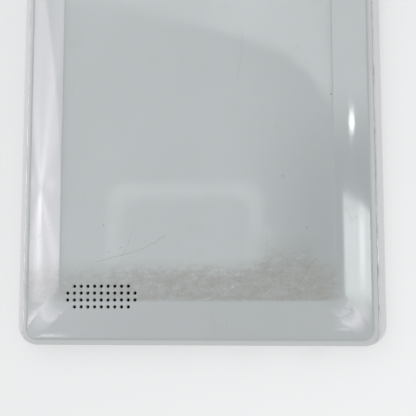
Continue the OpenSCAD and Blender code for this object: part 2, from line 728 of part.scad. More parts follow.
module navigation_ring() color(key_white) translate([0, ring_y, 0]) difference() {
    union() {
        translate([0, 0, 0.3]) cylinder(r = ring_r, h = ring_flange_z - 0.2, $fn = 64);
        translate([0, 0, ring_flange_z]) cylinder(r = ring_hole_r + 0.55, h = ring_flange_t, $fn = 64);
        for (a = [0:90:270]) rotate([0, 0, a]) translate([6.9, 0, ring_flange_z])
            cylinder(r = 0.7, h = ring_flange_t + 0.35, $fn = 24);
    }
    translate([0, 0, -1]) cylinder(r = inner_hole_r, h = 5, $fn = 64);
    translate([0, 0, ring_flange_z - 0.15]) cylinder(r = inner_hole_r + 0.85, h = 5, $fn = 64);
}

// small loop between ring and key board that the ring rocks on
module ring_pivot() color([0.6, 0.6, 0.6]) translate([0, ring_y, ring_pivot_z]) difference() {
    cylinder(r = inner_hole_r + 1.6, h = 0.2, $fn = 64);
    translate([0, 0, -1]) cylinder(r = inner_hole_r + 0.6, h = 2, $fn = 64);
}

module select_key() color(key_white) translate([0, ring_y, 0]) {
    translate([0, 0, 0.35]) cylinder(r = select_r, h = ring_flange_z - 0.2, $fn = 64);
    translate([0, 0, ring_flange_z + 0.15]) cylinder(r = inner_hole_r + 0.35, h = 0.35, $fn = 64);
    translate([0, 0, ring_flange_z + 0.2]) cylinder(r = 1, h = chin_nub_top - ring_flange_z - 0.2,
        $fn = 24);
}

module dome_sheet() color([0.85, 0.78, 0.55]) {
    translate([0, ring_y, dome_z + 0.2]) plate(key_board_w - 8, key_board_l - 0.8, 0.1, 1);
    for (p = concat([[0, 0], [menu_key_x, 0], [-menu_key_x, 0]],
        [for (a = [0:90:270]) 6.9 * [cos(a), sin(a)]]))
        translate([p.x, ring_y + p.y, dome_z]) cylinder(r = 1.9, h = 0.25, $fn = 24);
}

module key_board() color(board_green) difference() {
    translate([0, ring_y, key_board_z]) plate(key_board_w, key_board_l, key_board_t, 1);
    for (p = key_posts) translate([p.x, p.y, 0]) cylinder(r = screw_r + 0.2, h = 20, $fn = 32);
}

module key_board_screws() color(steel) for (p = key_posts)
    translate([p.x, p.y, key_board_z + key_board_t]) screw(post_screw_l);

// ---- keys on the edges ----

module power_slider() color(key_white) translate([slider_x, in_y, edge_key_z]) {
    translate([-slider_w / 2, -0.6, -slider_h / 2]) cube([slider_w, end_wall + 0.4, slider_h]);
    translate([-slider_w / 2 - 2.9, -0.8, -slider_h / 2 - 0.5])
        cube([slider_w + 5.8, 0.6, slider_h + 1]);
    translate([-1, -3.3, -0.6]) cube([2, 2.9, 1.2]);
}

switch_y = in_y - 2.7;

module power_switch() color(steel) translate([slider_x + slider_travel / 2, switch_y, edge_key_z])
    difference() {
        translate([-4.5, -4.2, -1.2]) cube([9, 4.2, 2.4]);
        translate([-3, -1, -0.8]) cube([6, 2, 1.6]);
    }

module power_board() color(board_green)
    translate([slider_x + slider_travel / 2 - 8, switch_y - 5, edge_key_z + 1.2])
        cube([16, 5, 0.8]);

rocker_x = -in_x + 0.5;

module volume_rocker() color(key_white) translate([-half_w, rocker_y, edge_key_z]) {
    translate([0.3, -rocker_l / 2, -slider_h / 2]) cube([rim_wall + 0.4, rocker_l, slider_h]);
    translate([rim_wall + 0.5, -rocker_l / 2 - 1.2, -slider_h / 2 - 0.5])
        cube([0.6, rocker_l + 2.4, slider_h + 1]);
    translate([rim_wall + 0.8, 0, -slider_h / 2 - 0.8]) cylinder(r = 0.55, h = slider_h + 1.6, $fn = 32);
    for (y = [-6, 6]) translate([rim_wall + 1, y, 0]) rotate([0, 90, 0])
        cylinder(r = 0.8, h = 0.5, $fn = 24);
}

module volume_switches() color([0.75, 0.75, 0.72]) for (y = [-6, 6])
    translate([rocker_x + 1.35, rocker_y + y, edge_key_z]) {
        rotate([0, 90, 0]) cylinder(r = 0.7, h = 0.4, $fn = 24);
        translate([0.3, -1.7, -1.7]) cube([0.9, 3.4, 3.4]);
    }

module volume_board() color(board_green)
    translate([rocker_x + 2.55, rocker_y - 9.4, bezel_t + 0.1]) cube([0.8, 18.8, 4.2]);

// ---- status lamp ----

module light_pipe() color([0.95, 0.97, 1, 0.6]) translate([lamp_x, ring_y, 0.15]) {
    cylinder(r = pipe_r, h = board_z - 0.75, $fn = 32);
    translate([0, 0, bezel_t - 0.15]) cylinder(r = pipe_r + 0.6, h = 0.5, $fn = 32);
}

module status_lamp() color([0.95, 0.9, 0.5]) translate([lamp_x - 0.8, ring_y - 0.4, board_z - 0.6])
    cube([1.6, 0.8, 0.6]);

front_housing();
rear_cover();
display_laminate();
display_glass();
display_gasket();
display_ribbon();
display_connector();
chassis();
chassis_screws();
main_board();
board_screws();
processor();
memory_chips();
power_chip();
board_parts();
shield_can();
battery_cell();
battery_tape();
battery_board();
battery_leads();
battery_plug();
speaker_frame();
speaker_magnet();
speaker_cone();
speaker_gasket();
speaker_cloth();
speaker_leads();
usb_socket();
headphone_socket();
card_socket();
memory_card();
reset_switch();
reset_plunger();
left_next_key();
left_previous_key();
right_next_key();
right_previous_key();
left_switch_strip();
right_switch_strip();
page_switches();
home_key();
back_key();
ring_pivot();
navigation_ring();
select_key();
dome_sheet();
key_board();
key_board_screws();
power_slider();
power_switch();
power_board();
volume_rocker();
volume_switches();
volume_board();
light_pipe();
status_lamp();
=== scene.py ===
"""E-reader lying on its screen: the looks of its case, keys and inside pieces."""

import json
import math
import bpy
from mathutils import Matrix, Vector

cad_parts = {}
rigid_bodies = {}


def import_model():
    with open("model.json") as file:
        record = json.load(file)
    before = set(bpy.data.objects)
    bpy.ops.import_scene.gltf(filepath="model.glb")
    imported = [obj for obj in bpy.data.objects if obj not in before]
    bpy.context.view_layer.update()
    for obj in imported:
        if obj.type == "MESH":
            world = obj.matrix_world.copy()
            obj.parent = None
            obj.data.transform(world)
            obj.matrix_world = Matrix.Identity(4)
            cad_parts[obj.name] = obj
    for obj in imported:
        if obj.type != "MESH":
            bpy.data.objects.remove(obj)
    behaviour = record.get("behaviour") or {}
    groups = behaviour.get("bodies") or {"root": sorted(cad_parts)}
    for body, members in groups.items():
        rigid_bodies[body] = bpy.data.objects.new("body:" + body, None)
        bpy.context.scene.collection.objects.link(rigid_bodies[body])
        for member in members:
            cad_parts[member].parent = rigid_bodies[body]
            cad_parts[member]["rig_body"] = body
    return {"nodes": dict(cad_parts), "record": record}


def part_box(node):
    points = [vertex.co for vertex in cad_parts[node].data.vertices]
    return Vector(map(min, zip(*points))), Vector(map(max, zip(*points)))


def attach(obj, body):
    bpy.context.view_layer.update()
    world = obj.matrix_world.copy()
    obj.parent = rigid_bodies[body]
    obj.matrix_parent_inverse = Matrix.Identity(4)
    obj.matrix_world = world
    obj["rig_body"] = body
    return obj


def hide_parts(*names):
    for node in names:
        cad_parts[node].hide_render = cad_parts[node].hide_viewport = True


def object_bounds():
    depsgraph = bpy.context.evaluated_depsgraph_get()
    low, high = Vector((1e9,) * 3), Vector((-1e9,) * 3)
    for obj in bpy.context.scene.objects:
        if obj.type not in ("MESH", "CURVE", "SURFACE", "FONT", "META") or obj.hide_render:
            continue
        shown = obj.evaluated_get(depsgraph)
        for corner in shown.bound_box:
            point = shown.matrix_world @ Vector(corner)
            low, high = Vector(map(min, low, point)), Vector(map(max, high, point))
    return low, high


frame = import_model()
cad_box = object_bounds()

from types import SimpleNamespace

import bmesh
import bpy
from mathutils import Matrix, Vector

bl_info = {
    "name": "E-reader",
    "version": (1, 0, 0),
    "blender": (4, 5, 0),
    "location": "View3D > Sidebar > E-reader",
    "description": "Builds the case, keys, finishes and studio of an e-reader lying on its screen",
    "category": "Object",
}

# Shapes are worked out in millimetres and turned into metres when a mesh is made.
MM = 0.001
CORNER_STEPS = 14
SMALL_CORNER_STEPS = 6
# Edges that turn by more than this many degrees are shaded as sharp.
SHARP_ANGLE = 34
# Distance from the case's ends and sides to the middles of the outermost hooks.
HOOK_FROM_END = 23
HOOK_FROM_SIDE = 12
# How far a post's foot reaches into the bezel.
POST_FOOT = 0.3
POSTS = {
    "chassis": [(side * x, y) for side in (-1, 1)
                for x, y in ((54.1, 79.8), (54.1, -38.2), (43.9, -57.8))],
    "main_board": [(5.5, -86.1), (49.6, -86.1)],
    "key_board": [(x, y) for x in (-33.0, 33.0) for y in (-77.5, -63.5)],
}
STRIP_POSTS = [(x, y) for x in (-53.95, 53.95) for y in (-28.0, 11.0, 50.0)]
# The frame brings plain materials of its own with the slots' names.
FINISH_PREFIX = "finish_"


# ---- sizes and colours ----


def length(name, millimetres, description):
    return bpy.props.FloatProperty(
        name=name, description=description, default=millimetres * MM,
        min=0.0, precision=5, subtype="DISTANCE", unit="LENGTH")


def colour(name, value, description):
    return bpy.props.FloatVectorProperty(
        name=name, description=description, default=value, size=3,
        min=0.0, max=1.0, subtype="COLOR")


class CaseSizes(bpy.types.PropertyGroup):
    bezel: length("Bezel", 1.6, "Thickness of the bezel round the window")
    rim_level: length("Rim level", 3.0, "Height of the case's widest level")
    seam_level: length("Seam level", 7.0, "Height of the seam between housing and cover")
    seam_gap: length("Seam gap", 0.18, "Width of the gap in the seam")
    corner: length("Corner", 6.6, "Corner radius of the housing")
    side_wall: length("Side wall", 4.0, "Wall of the housing at its long sides")
    end_wall: length("End wall", 2.0, "Wall of the housing at its two ends")
    rim_reveal: length("Rim", 2.85, "How far the rim stands outside the seam")
    cover_wall: length("Cover wall", 1.5, "Wall of the rear cover")
    skirt_in: length("Skirt", 1.85, "How far the cover's edge leans in from the seam to the crease")
    crown: length("Crown", 2.8, "Height of the crown from the crease to the flat middle")
    side_slope: length("Side slope", 11.8, "Width of the sloping margin along the sides")
    end_slope: length("End slope", 12.6, "Width of the sloping margin at the ends")
    window_bevel: length("Window bevel", 1.4, "Width of the bevel round the screen window")
    window_w: length("Window width", 91.6, "Width of the screen window")
    window_l: length("Window length", 123.4, "Length of the screen window")
    window_y: length("Window place", 16.8, "Middle of the window, from the case's middle")


class SpeakerSizes(bpy.types.PropertyGroup):
    pitch: length("Pitch", 2.22, "Distance from hole to hole")
    hole: length("Hole", 1.05, "Diameter of a speaker hole")
    lip: length("Lip", 0.18, "Rounded lip at the mouth of a hole")
    side: length("From the side", 30.3, "Case's side to the middle of the grille")
    end: length("From the end", 15.7, "Case's bottom end to the middle of the grille")


class KeySizes(bpy.types.PropertyGroup):
    gap: length("Gap", 0.15, "Gap between a key and its hole")
    level: length("Level", 0.2, "How far a key's face lies behind the bezel's face")
    round: length("Rounding", 0.45, "Rounding of a key's upper edge")
    dish: length("Dish", 0.28, "Depth of the dish in the select key")


class Finishes(bpy.types.PropertyGroup):
    case: colour("Case", (0.395, 0.423, 0.424), "Moulded white of the case")
    # Lighter copy of the case white, painted as light on the rim and on the cover's skirt.
    case_edge: colour("Case rim", (0.64, 0.645, 0.65), "White of the rim and the cover's edge")
    # Grime colour, also used for the painted shade in the seam's gap.
    grime: colour("Grime", (0.15, 0.125, 0.09), "Dirt in the seam and in the scuffs")
    key: colour("Keys", (0.62, 0.64, 0.64), "Satin white of the keys")
    floor: colour("Floor", (0.42, 0.422, 0.425), "Pale floor")


def millimetres(group):
    """The lengths of a property group as plain numbers in millimetres."""
    return SimpleNamespace(**{name: getattr(group, name) / MM for name in type(group).__annotations__})


def case_sizes(context):
    """The case's sizes, with what follows from them and from the frame."""
    s = millimetres(context.scene.reader_case)
    _, high = cad_box
    s.half_w = high.x / MM
    s.half_l = high.y / MM
    s.top = high.z / MM
    s.in_x = s.half_w - s.side_wall
    s.in_y = s.half_l - s.end_wall
    s.crease = s.top - s.crown
    s.seam_x = s.half_w - s.rim_reveal - 0.1
    s.seam_y = s.half_l - 0.1
    s.crease_x = s.seam_x - s.skirt_in
    s.crease_y = s.seam_y - s.skirt_in
    s.flat_x = s.crease_x - s.side_slope
    s.flat_y = s.crease_y - s.end_slope
    return s


# ---- shapes ----


def round_rect(half_w, half_l, radius, steps=CORNER_STEPS):
    """Points round a rectangle with round corners, anticlockwise."""
    points = []
    for quarter in range(4):
        side = 1 if quarter in (0, 3) else -1
        end = 1 if quarter < 2 else -1
        for i in range(steps + 1):
            turn = math.radians(90 * (quarter + i / steps))
            points.append((side * (half_w - radius) + radius * math.cos(turn),
                           end * (half_l - radius) + radius * math.sin(turn)))
    return points


def circle(radius, sides):
    """Points round a circle, anticlockwise."""
    turns = [math.tau * i / sides for i in range(sides)]
    return [(radius * math.cos(a), radius * math.sin(a)) for a in turns]


class Shape:
    """Closed solids that make one piece or one cutter, in millimetres."""

    def __init__(self):
        self.points = []
        self.faces = []

    def skin(self, rings, place=None, loop=False):
        """Walls from ring to ring, with a cap at each end or, for a loop, back to the first."""
        start = len(self.points)
        count = len(rings[0])
        place = place or Matrix.Identity(4)
        for ring in rings:
            self.points.extend(place @ Vector(point) for point in ring)
        pairs = [(k, k + 1) for k in range(len(rings) - 1)]
        if loop:
            pairs.append((len(rings) - 1, 0))
        for low, high in pairs:
            for i in range(count):
                j = (i + 1) % count
                self.faces.append((start + low * count + i, start + low * count + j,
                                   start + high * count + j, start + high * count + i))
        if not loop:
            last = start + (len(rings) - 1) * count
            self.faces.append(tuple(range(start + count - 1, start - 1, -1)))
            self.faces.append(tuple(range(last, last + count)))
        return self

    def loft(self, rings, place=None, steps=CORNER_STEPS):
        """Solid through rings, each (half width, half length, corner radius, height)."""
        return self.skin([[(x, y, z) for x, y in round_rect(w, l, r, steps)]
                          for w, l, r, z in rings], place)

    def plate(self, x, y, w, l, r, low, high):
        """Flat plate with round corners, standing from low to high."""
        return self.loft([(w / 2, l / 2, r, low), (w / 2, l / 2, r, high)],
                         Matrix.Translation((x, y, 0)), SMALL_CORNER_STEPS)

    def turned(self, profile, place=None, sides=64, loop=False):
        """Solid of revolution through (radius, height) points."""
        return self.skin([[(x, y, z) for x, y in circle(r, sides)] for r, z in profile],
                         place, loop)

    def rod(self, x, y, radius, low, high, sides=32):
        """Upright rod."""
        return self.turned([(radius, low), (radius, high)], Matrix.Translation((x, y, 0)), sides)

    def block(self, low, high):
        """Square-edged block between two corners, for cuts."""
        outline = [(low[0], low[1]), (high[0], low[1]), (high[0], high[1]), (low[0], high[1])]
        return self.skin([[(x, y, z) for x, y in outline] for z in (low[2], high[2])])

    def mesh(self, name):
        """The shape as a mesh in metres, with its faces turned outward."""
        mesh = bpy.data.meshes.new(name)
        mesh.from_pydata([point * MM for point in self.points], [], self.faces)
        work = bmesh.new()
        work.from_mesh(mesh)
        bmesh.ops.remove_doubles(work, verts=work.verts, dist=0.5e-6)
        bmesh.ops.recalc_face_normals(work, faces=work.faces)
        work.to_mesh(mesh)
        work.free()
        return mesh


def place_in_scene(name, mesh):
    """Puts a mesh into the scene as an object of that name."""
    piece = bpy.data.objects.new(name, mesh)
    bpy.context.scene.collection.objects.link(piece)
    return piece


def place_shape(name, shape):
    """Puts a shape into the scene as an object of that name."""
    return place_in_scene(name, shape.mesh(name))


def cut(piece, shape):
    """Cuts a shape out of a piece and keeps the result as its mesh."""
    tool = place_shape(piece.name + "_tool", shape)
    modifier = piece.modifiers.new("Cut", "BOOLEAN")
    modifier.solver = "EXACT"
    modifier.operation = "DIFFERENCE"
    modifier.object = tool
    graph = bpy.context.evaluated_depsgraph_get()
    result = bpy.data.meshes.new_from_object(piece.evaluated_get(graph))
    piece.modifiers.clear()
    used = piece.data
    piece.data = result
    bpy.data.meshes.remove(used)
    used = tool.data
    bpy.data.objects.remove(tool)
    bpy.data.meshes.remove(used)
    if not result.polygons:
        raise RuntimeError(f"{piece.name}: nothing is left after a cut")


def add_shell(piece, shape):
    """Adds closed solids to a piece's mesh as they are."""
    work = bmesh.new()
    work.from_mesh(piece.data)
    extra = shape.mesh("extra")
    work.from_mesh(extra)
    work.to_mesh(piece.data)
    work.free()
    bpy.data.meshes.remove(extra)


def finish_piece(piece, node, material):
    """Smooth shading with crisp edges, a finish, and the body that the piece moves with."""
    piece.data.materials.clear()
    piece.data.materials.append(material)
    for face in piece.data.polygons:
        face.material_index = 0
    piece.data.shade_smooth()
    piece.data.set_sharp_from_angle(angle=math.radians(SHARP_ANGLE))
    weighted = piece.modifiers.new("Even shading", "WEIGHTED_NORMAL")
    weighted.keep_sharp = True
    weighted.weight = 80
    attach(piece, frame["nodes"][node]["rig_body"])
    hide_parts(node)


def box_mm(node):
    """A node's lowest and highest corners in millimetres."""
    low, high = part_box(node)
    return low / MM, high / MM


def middle(low, high):
    """The three middles of a box."""
    return [(a + b) / 2 for a, b in zip(low, high)]


# ---- rear cover ----


def crown_fall(s, share):
    """How far the cover has fallen below its top, by how far down the crown a place lies."""
    return s.crown * 0.5 * (share + share * share)


def crown_rings(s, shares, drop=0.0, inset=0.0):
    """Rings of the crown, or of a surface that lies under it."""
    return [(s.crease_x - s.side_slope * (1 - k) - inset, s.crease_y - s.end_slope * (1 - k) - inset,
             3.6 + 2 * (1 - k), s.top - crown_fall(s, k) - drop) for k in shares]


def cover_rings(s):
    """Rings of the rear cover, from the seam up the skirt and over the crown."""
    low = s.seam_level + s.seam_gap
    rings = [(s.seam_x - 0.2, s.seam_y - 0.12, s.corner - 2.4, low),
             (s.seam_x - 0.05, s.seam_y - 0.03, s.corner - 2.25, low + 0.06)]
    for k in range(13):
        u = 0.08 + 0.9 * k / 12
        rings.append((s.seam_x - s.skirt_in * u * u, s.seam_y - s.skirt_in * u * u,
                      s.corner - 2.2 - 0.6 * u, low + (s.crease - low) * u))
    return rings + crown_rings(s, [1 - k / 30 for k in range(31)])


def share_at(s, x, y):
    """How far down the crown a place on the cover lies: 0 on the flat, 1 at the crease."""
    share = max((abs(x) - s.flat_x) / s.side_slope, (abs(y) - s.flat_y) / s.end_slope)
    return min(max(share, 0.0), 1.0)


def grille_places(s, speaker):
    """Middles of the speaker holes: two long rows between two short ones."""
    x = -s.half_w + speaker.side
    y = -s.half_l + speaker.end
    return [(x + (k - (count - 1) / 2) * speaker.pitch, y + (1.5 - row) * speaker.pitch)
            for row, count in enumerate((9, 11, 11, 9)) for k in range(count)]


def grille_cutter(s, speaker, low):
    """Round holes, each opening out to a soft lip at the cover's surface."""
    shape = Shape()
    r = speaker.hole / 2
    lip = speaker.lip
    for x, y in grille_places(s, speaker):
        top = s.top - crown_fall(s, share_at(s, x, y))
        profile = [(r, low), (r, top - lip)]
        profile += [(r + lip * (1 - math.cos(a)), top - lip * (1 - math.sin(a)))
                    for a in (0.4, 0.8, 1.2, math.pi / 2)]
        profile.append((r + lip, top + 0.6))
        shape.turned(profile, Matrix.Translation((x, y, 0)), 20)
    return shape


def hook_places(s, out):
    """Place and turn of each hook, five on each side and two on each end, out from the inner wall."""
    places = []
    apart = s.half_l - HOOK_FROM_END
    for side in (-1, 1):
        for k in range(-2, 3):
            places.append((side * (s.in_x + out), k * apart / 2, 90 - 90 * side))
        for x in (-s.half_w + HOOK_FROM_SIDE, s.half_w - HOOK_FROM_SIDE):
            places.append((x, side * (s.in_y + out), 90 * side))
    return places


def hook_shape(s, level):
    """The hooks inside the cover's edge."""
    outline = [(0, 0), (0.45, 0.35), (0.45, 0.75), (0, 0.95), (0, 3), (-1, 3), (-1, 0)]
    shape = Shape()
    for x, y, turn in hook_places(s, -0.1):
        place = Matrix.Translation((x, y, level)) @ Matrix.Rotation(math.radians(turn), 4, "Z")
        shape.skin([[(out, along, up) for out, up in outline] for along in (-4, 4)], place)
    return shape


def speaker_walls(s):
    """Walls under the cover that hold the speaker's frame, ending inside the crown."""
    low, high = box_mm("speaker_frame")
    x, y, _ = middle(low, high)
    room = 0.4
    wall = 1.0
    w = high.x - low.x + room
    l = high.y - low.y + room
    foot = high.z - 1.5
    ceiling = s.top - s.cover_wall + 0.2
    levels = ((0, 0.4, foot), (wall, 1.2, foot), (wall, 1.2, ceiling), (0, 0.4, ceiling))
    rings = [[(x + px, y + py, z) for px, py in round_rect(w / 2 + e, l / 2 + e, r, SMALL_CORNER_STEPS)]
             for e, r, z in levels]
    walls = Shape().skin(rings, loop=True)
    walls.points = [Vector((p.x, p.y, min(p.z, s.top - 1.0 - crown_fall(s, share_at(s, p.x, p.y)))))
                    for p in walls.points]
    return walls


def make_cover(context):
    """The rear cover, hollow, with its holes, hooks and speaker walls."""
    s = case_sizes(context)
    speaker = millimetres(context.scene.reader_speaker)
    cover = place_shape("rear_cover_shell", Shape().loft(cover_rings(s)))
    inside = [(s.seam_x - 1.3, s.seam_y - 1.4, 3.4, s.seam_level - 0.5),
              (s.seam_x - 1.3, s.seam_y - 1.4, 3.4, s.seam_level + 0.3)]
    inside += crown_rings(s, [1, 0.8, 0.6, 0.4, 0.2, 0], s.cover_wall, 0.9)
    cut(cover, Shape().loft(inside))
    cloth_top = box_mm("speaker_cloth")[1].z
    cut(cover, grille_cutter(s, speaker, cloth_top + 0.05))
    add_shell(cover, hook_shape(s, s.seam_level - 1.6))
    add_shell(cover, speaker_walls(s))
    return cover


# ---- front housing ----


def rim_inset(s, share):
    """How far the rim has come in, from its widest level at 0 to the seam at 1."""
    return s.rim_reveal * (1 - (1 - share ** 1.7) ** (1 / 1.7))


def housing_rings(s):
    """Rings of the housing, from the face round its edge, out to the rim and in to the seam."""
    rings = []
    for k in range(9):
        u = k / 9
        e = 1.7 * (1 - math.sqrt(1 - (1 - u) ** 2))
        rings.append((s.half_w - e, s.half_l - e, s.corner - 0.6 * e, s.rim_level * u))
    for k in range(19):
        share = 1 - (1 - k / 18) ** 2
        e = rim_inset(s, share)
        height = s.rim_level + (s.seam_level - s.rim_level) * share
        rings.append((s.half_w - e, s.half_l, s.corner - 0.7 * e, height))
    return rings


def window_cutter(s):
    """The screen window with its bevel."""
    w = s.window_w / 2
    l = s.window_l / 2
    rings = [(w + s.window_bevel, l + s.window_bevel, 1.9, -0.1),
             (w + 0.35, l + 0.35, 1.1, s.bezel - 0.7), (w, l, 0.8, s.bezel - 0.3),
             (w, l, 0.8, s.bezel + 1)]
    return Shape().loft(rings, Matrix.Translation((0, s.window_y, 0)))


def face_holes(s, keys):
    """Holes in the bezel for the keys, the ring and the light pipe."""
    shape = Shape()
    flange = 0.8
    for node in ("left_next_key", "left_previous_key", "right_next_key", "right_previous_key",
                 "home_key", "back_key"):
        low, high = box_mm(node)
        w = high.x - low.x - flange + 2 * keys.gap
        l = high.y - low.y - flange + 2 * keys.gap
        r = 1.6 if l > w else l / 2 - 0.02
        x, y, _ = middle(low, high)
        shape.plate(x, y, w, l, r, -1, s.bezel + 1)
    for node, inset, sides in (("navigation_ring", 0.55, 64), ("light_pipe", 0.5, 32)):
        low, high = box_mm(node)
        x, y, _ = middle(low, high)
        shape.rod(x, y, (high.x - low.x) / 2 - inset, -1, s.bezel + 1, sides)
    return shape


def edge_holes(s):
    """Openings in the two ends and in the side, for sockets, slider and rocker."""
    shape = Shape()
    turn = Matrix.Rotation(math.radians(90), 4, "X")
    for node, radius, sides in (("headphone_socket", 2.65, 48), ("reset_plunger", 0.6, 32)):
        x, _, z = middle(*box_mm(node))
        out = Matrix.Translation((x, -s.in_y + 1, z)) @ turn
        shape.turned([(radius, 0), (radius, s.end_wall + 3)], out, sides)
    low, high = box_mm("usb_socket")
    shape.block((low.x - 0.3, -s.half_l - 1, low.z - 0.3), (high.x + 0.3, -s.in_y + 1, high.z + 0.2))
    low, high = box_mm("memory_card")
    shape.block((low.x - 0.5, -s.half_l - 1, low.z - 0.4), (high.x + 0.5, -s.in_y + 1, high.z + 0.4))
    low, high = box_mm("power_slider")
    shape.block((low.x + 2.6, s.in_y - 1, low.z + 0.2), (high.x, s.half_l + 1, high.z - 0.2))
    low, high = box_mm("volume_rocker")
    shape.block((-s.half_w - 1, low.y + 0.8, low.z + 0.5), (-s.in_x + 1, high.y - 0.8, high.z - 0.5))
    return shape


def hook_windows(s, level):
    """Pockets in the inner wall that the cover's hooks snap into."""
    shape = Shape()
    depth = 0.7
    width = 4.3
    for x, y, turn in hook_places(s, 0.2):
        w, l = (depth, width) if turn % 180 == 0 else (width, depth)
        shape.block((x - w, y - l, level), (x + w, y + l, level + 1.2))
    return shape


def screw_posts(s):
    """Posts that the chassis, the boards and the key strips stand on."""
    shape = Shape()
    foot = s.bezel - POST_FOOT
    post = 2
    bore = 0.9
    bore_depth = 1.5
    for node, places in POSTS.items():
        top = box_mm(node)[0].z
        for x, y in places:
            shape.turned([(post, foot), (post, top), (bore, top), (bore, top - bore_depth)],
                         Matrix.Translation((x, y, 0)), 32)
    strip = box_mm("left_switch_strip")[0].z
    for x, y in STRIP_POSTS:
        shape.rod(x, y, 1.2, foot, strip)
    return shape


def make_housing(context):
    """The front housing, hollow, with its window, openings, pockets and posts."""
    s = case_sizes(context)
    keys = millimetres(context.scene.reader_keys)
    housing = place_shape("housing_shell", Shape().loft(housing_rings(s)))
    cavity = Shape().plate(0, 0, 2 * s.in_x, 2 * s.in_y, 3.4, s.bezel, s.bezel + s.seam_level)
    cut(housing, cavity)
    cut(housing, window_cutter(s))
    cut(housing, face_holes(s, keys))
    cut(housing, edge_holes(s))
    cut(housing, hook_windows(s, s.seam_level - 1.8))
    add_shell(housing, screw_posts(s))
    return housing


# ---- keys ----


def key_cap_rings(w, l, r, face, top, edge):
    """Rings of a key from its face, with a rounded edge, up to its flange."""
    rings = []
    for k in range(6):
        turn = math.pi / 2 * k / 5
        e = edge * (1 - math.sin(turn))
        rings.append((w / 2 - e, l / 2 - e, max(r - e, 0.3), face + edge * (1 - math.cos(turn))))
    rings.append((w / 2, l / 2, r, top))
    return rings


def make_push_key(node, keys):
    """A key with its flange and nub, in the space that the frame gives it."""
    low, high = box_mm(node)
    flange = 0.4
    flange_low = 1.75
    flange_high = 2.35
    x, y, _ = middle(low, high)
    w = high.x - low.x - 2 * flange
    l = high.y - low.y - 2 * flange
    r = 1.6 if l > w else l / 2 - 0.1
    rings = key_cap_rings(w, l, r, keys.level, flange_low, keys.round)
    rings += [(w / 2 + flange, l / 2 + flange, r, flange_low),
              (w / 2 + flange, l / 2 + flange, r, flange_high)]
    shape = Shape().loft(rings, Matrix.Translation((x, y, 0)), 10)
    shape.rod(x, y, 1, flange_high - 0.05, high.z)
    # low ridge in the middle of the face, which a thumb can find
    ridge = [(0.25, 0.9 if l > w else 0.5, 0.2, keys.level + 0.02),
             (0.1, 0.7 if l > w else 0.35, 0.1, keys.level - 0.12)]
    shape.loft(ridge, Matrix.Translation((x, y, 0)), SMALL_CORNER_STEPS)
    return place_shape(node + "_cap", shape)


def make_ring():
    """The four-way ring, with a nub over each switch and a raised mark over each nub."""
    low, high = box_mm("navigation_ring")
    x, y, _ = middle(low, high)
    axis = Matrix.Translation((x, y, 0))
    outer = (high.x - low.x) / 2
    nub_top = high.z
    flange_high = nub_top - 0.35
    flange_low = flange_high - 0.45
    face = low.z
    profile = [(4.15, face + 0.75), (4.25, face + 0.5), (4.6, face + 0.34), (5.6, face + 0.2),
               (7.0, face + 0.06), (8.1, face), (8.55, face + 0.05), (8.85, face + 0.2),
               (9.0, face + 0.45), (9.0, flange_low), (outer, flange_low), (outer, flange_high),
               (5.0, flange_high), (5.0, flange_low - 0.15), (4.15, flange_low - 0.15)]
    shape = Shape().turned(profile, axis, 96, loop=True)
    nub_out = 6.9
    for k in range(4):
        turn = math.radians(90 * k)
        spoke = axis @ Matrix.Translation((nub_out * math.cos(turn), nub_out * math.sin(turn), 0))
        shape.turned([(0.7, flange_high - 0.05), (0.7, nub_top - 0.1), (0.6, nub_top)], spoke, 24)
        shape.turned([(0.42, face + 0.15), (0.34, face - 0.03), (0.18, face - 0.09)], spoke, 20)
    return place_shape("ring_cap", shape)


def make_select_key(keys):
    """The round key in the middle of the ring, with its dish, flange and nub."""
    low, high = box_mm("select_key")
    x, y, _ = middle(low, high)
    axis = Matrix.Translation((x, y, 0))
    flange = (high.x - low.x) / 2
    r = 3.9
    face = low.z
    flange_low = 2.3
    flange_high = 2.65
    profile = [(0.02, face + keys.dish), (1.0, face + 0.9 * keys.dish), (2.0, face + 0.6 * keys.dish),
               (2.8, face + 0.2 * keys.dish), (3.2, face), (3.5, face + 0.05), (3.75, face + 0.2),
               (r, face + 0.45), (r, flange_low), (flange, flange_low), (flange, flange_high),
               (1.0, flange_high), (1.0, high.z - 0.06), (0.9, high.z)]
    return place_shape("select_cap", Shape().turned(profile, axis, 72))


def edge_cap(shape, place, length, width, reach, base, ribs):
    """Cap of a key on the case's edge, pointing out along its own +Z, with grip ribs."""
    rings = [(length / 2, width / 2, 0.5, base), (length / 2, width / 2, 0.5, reach - 0.35),
             (length / 2 - 0.08, width / 2 - 0.08, 0.45, reach - 0.16),
             (length / 2 - 0.24, width / 2 - 0.24, 0.35, reach - 0.04),
             (length / 2 - 0.4, width / 2 - 0.4, 0.25, reach - 0.02)]
    shape.loft(rings, place, SMALL_CORNER_STEPS)
    for along in ribs:
        rib = [(0.2, width / 2 - 0.45, 0.15, reach - 0.1), (0.08, width / 2 - 0.55, 0.06, reach)]
        shape.loft(rib, place @ Matrix.Translation((along, 0, 0)), 4)


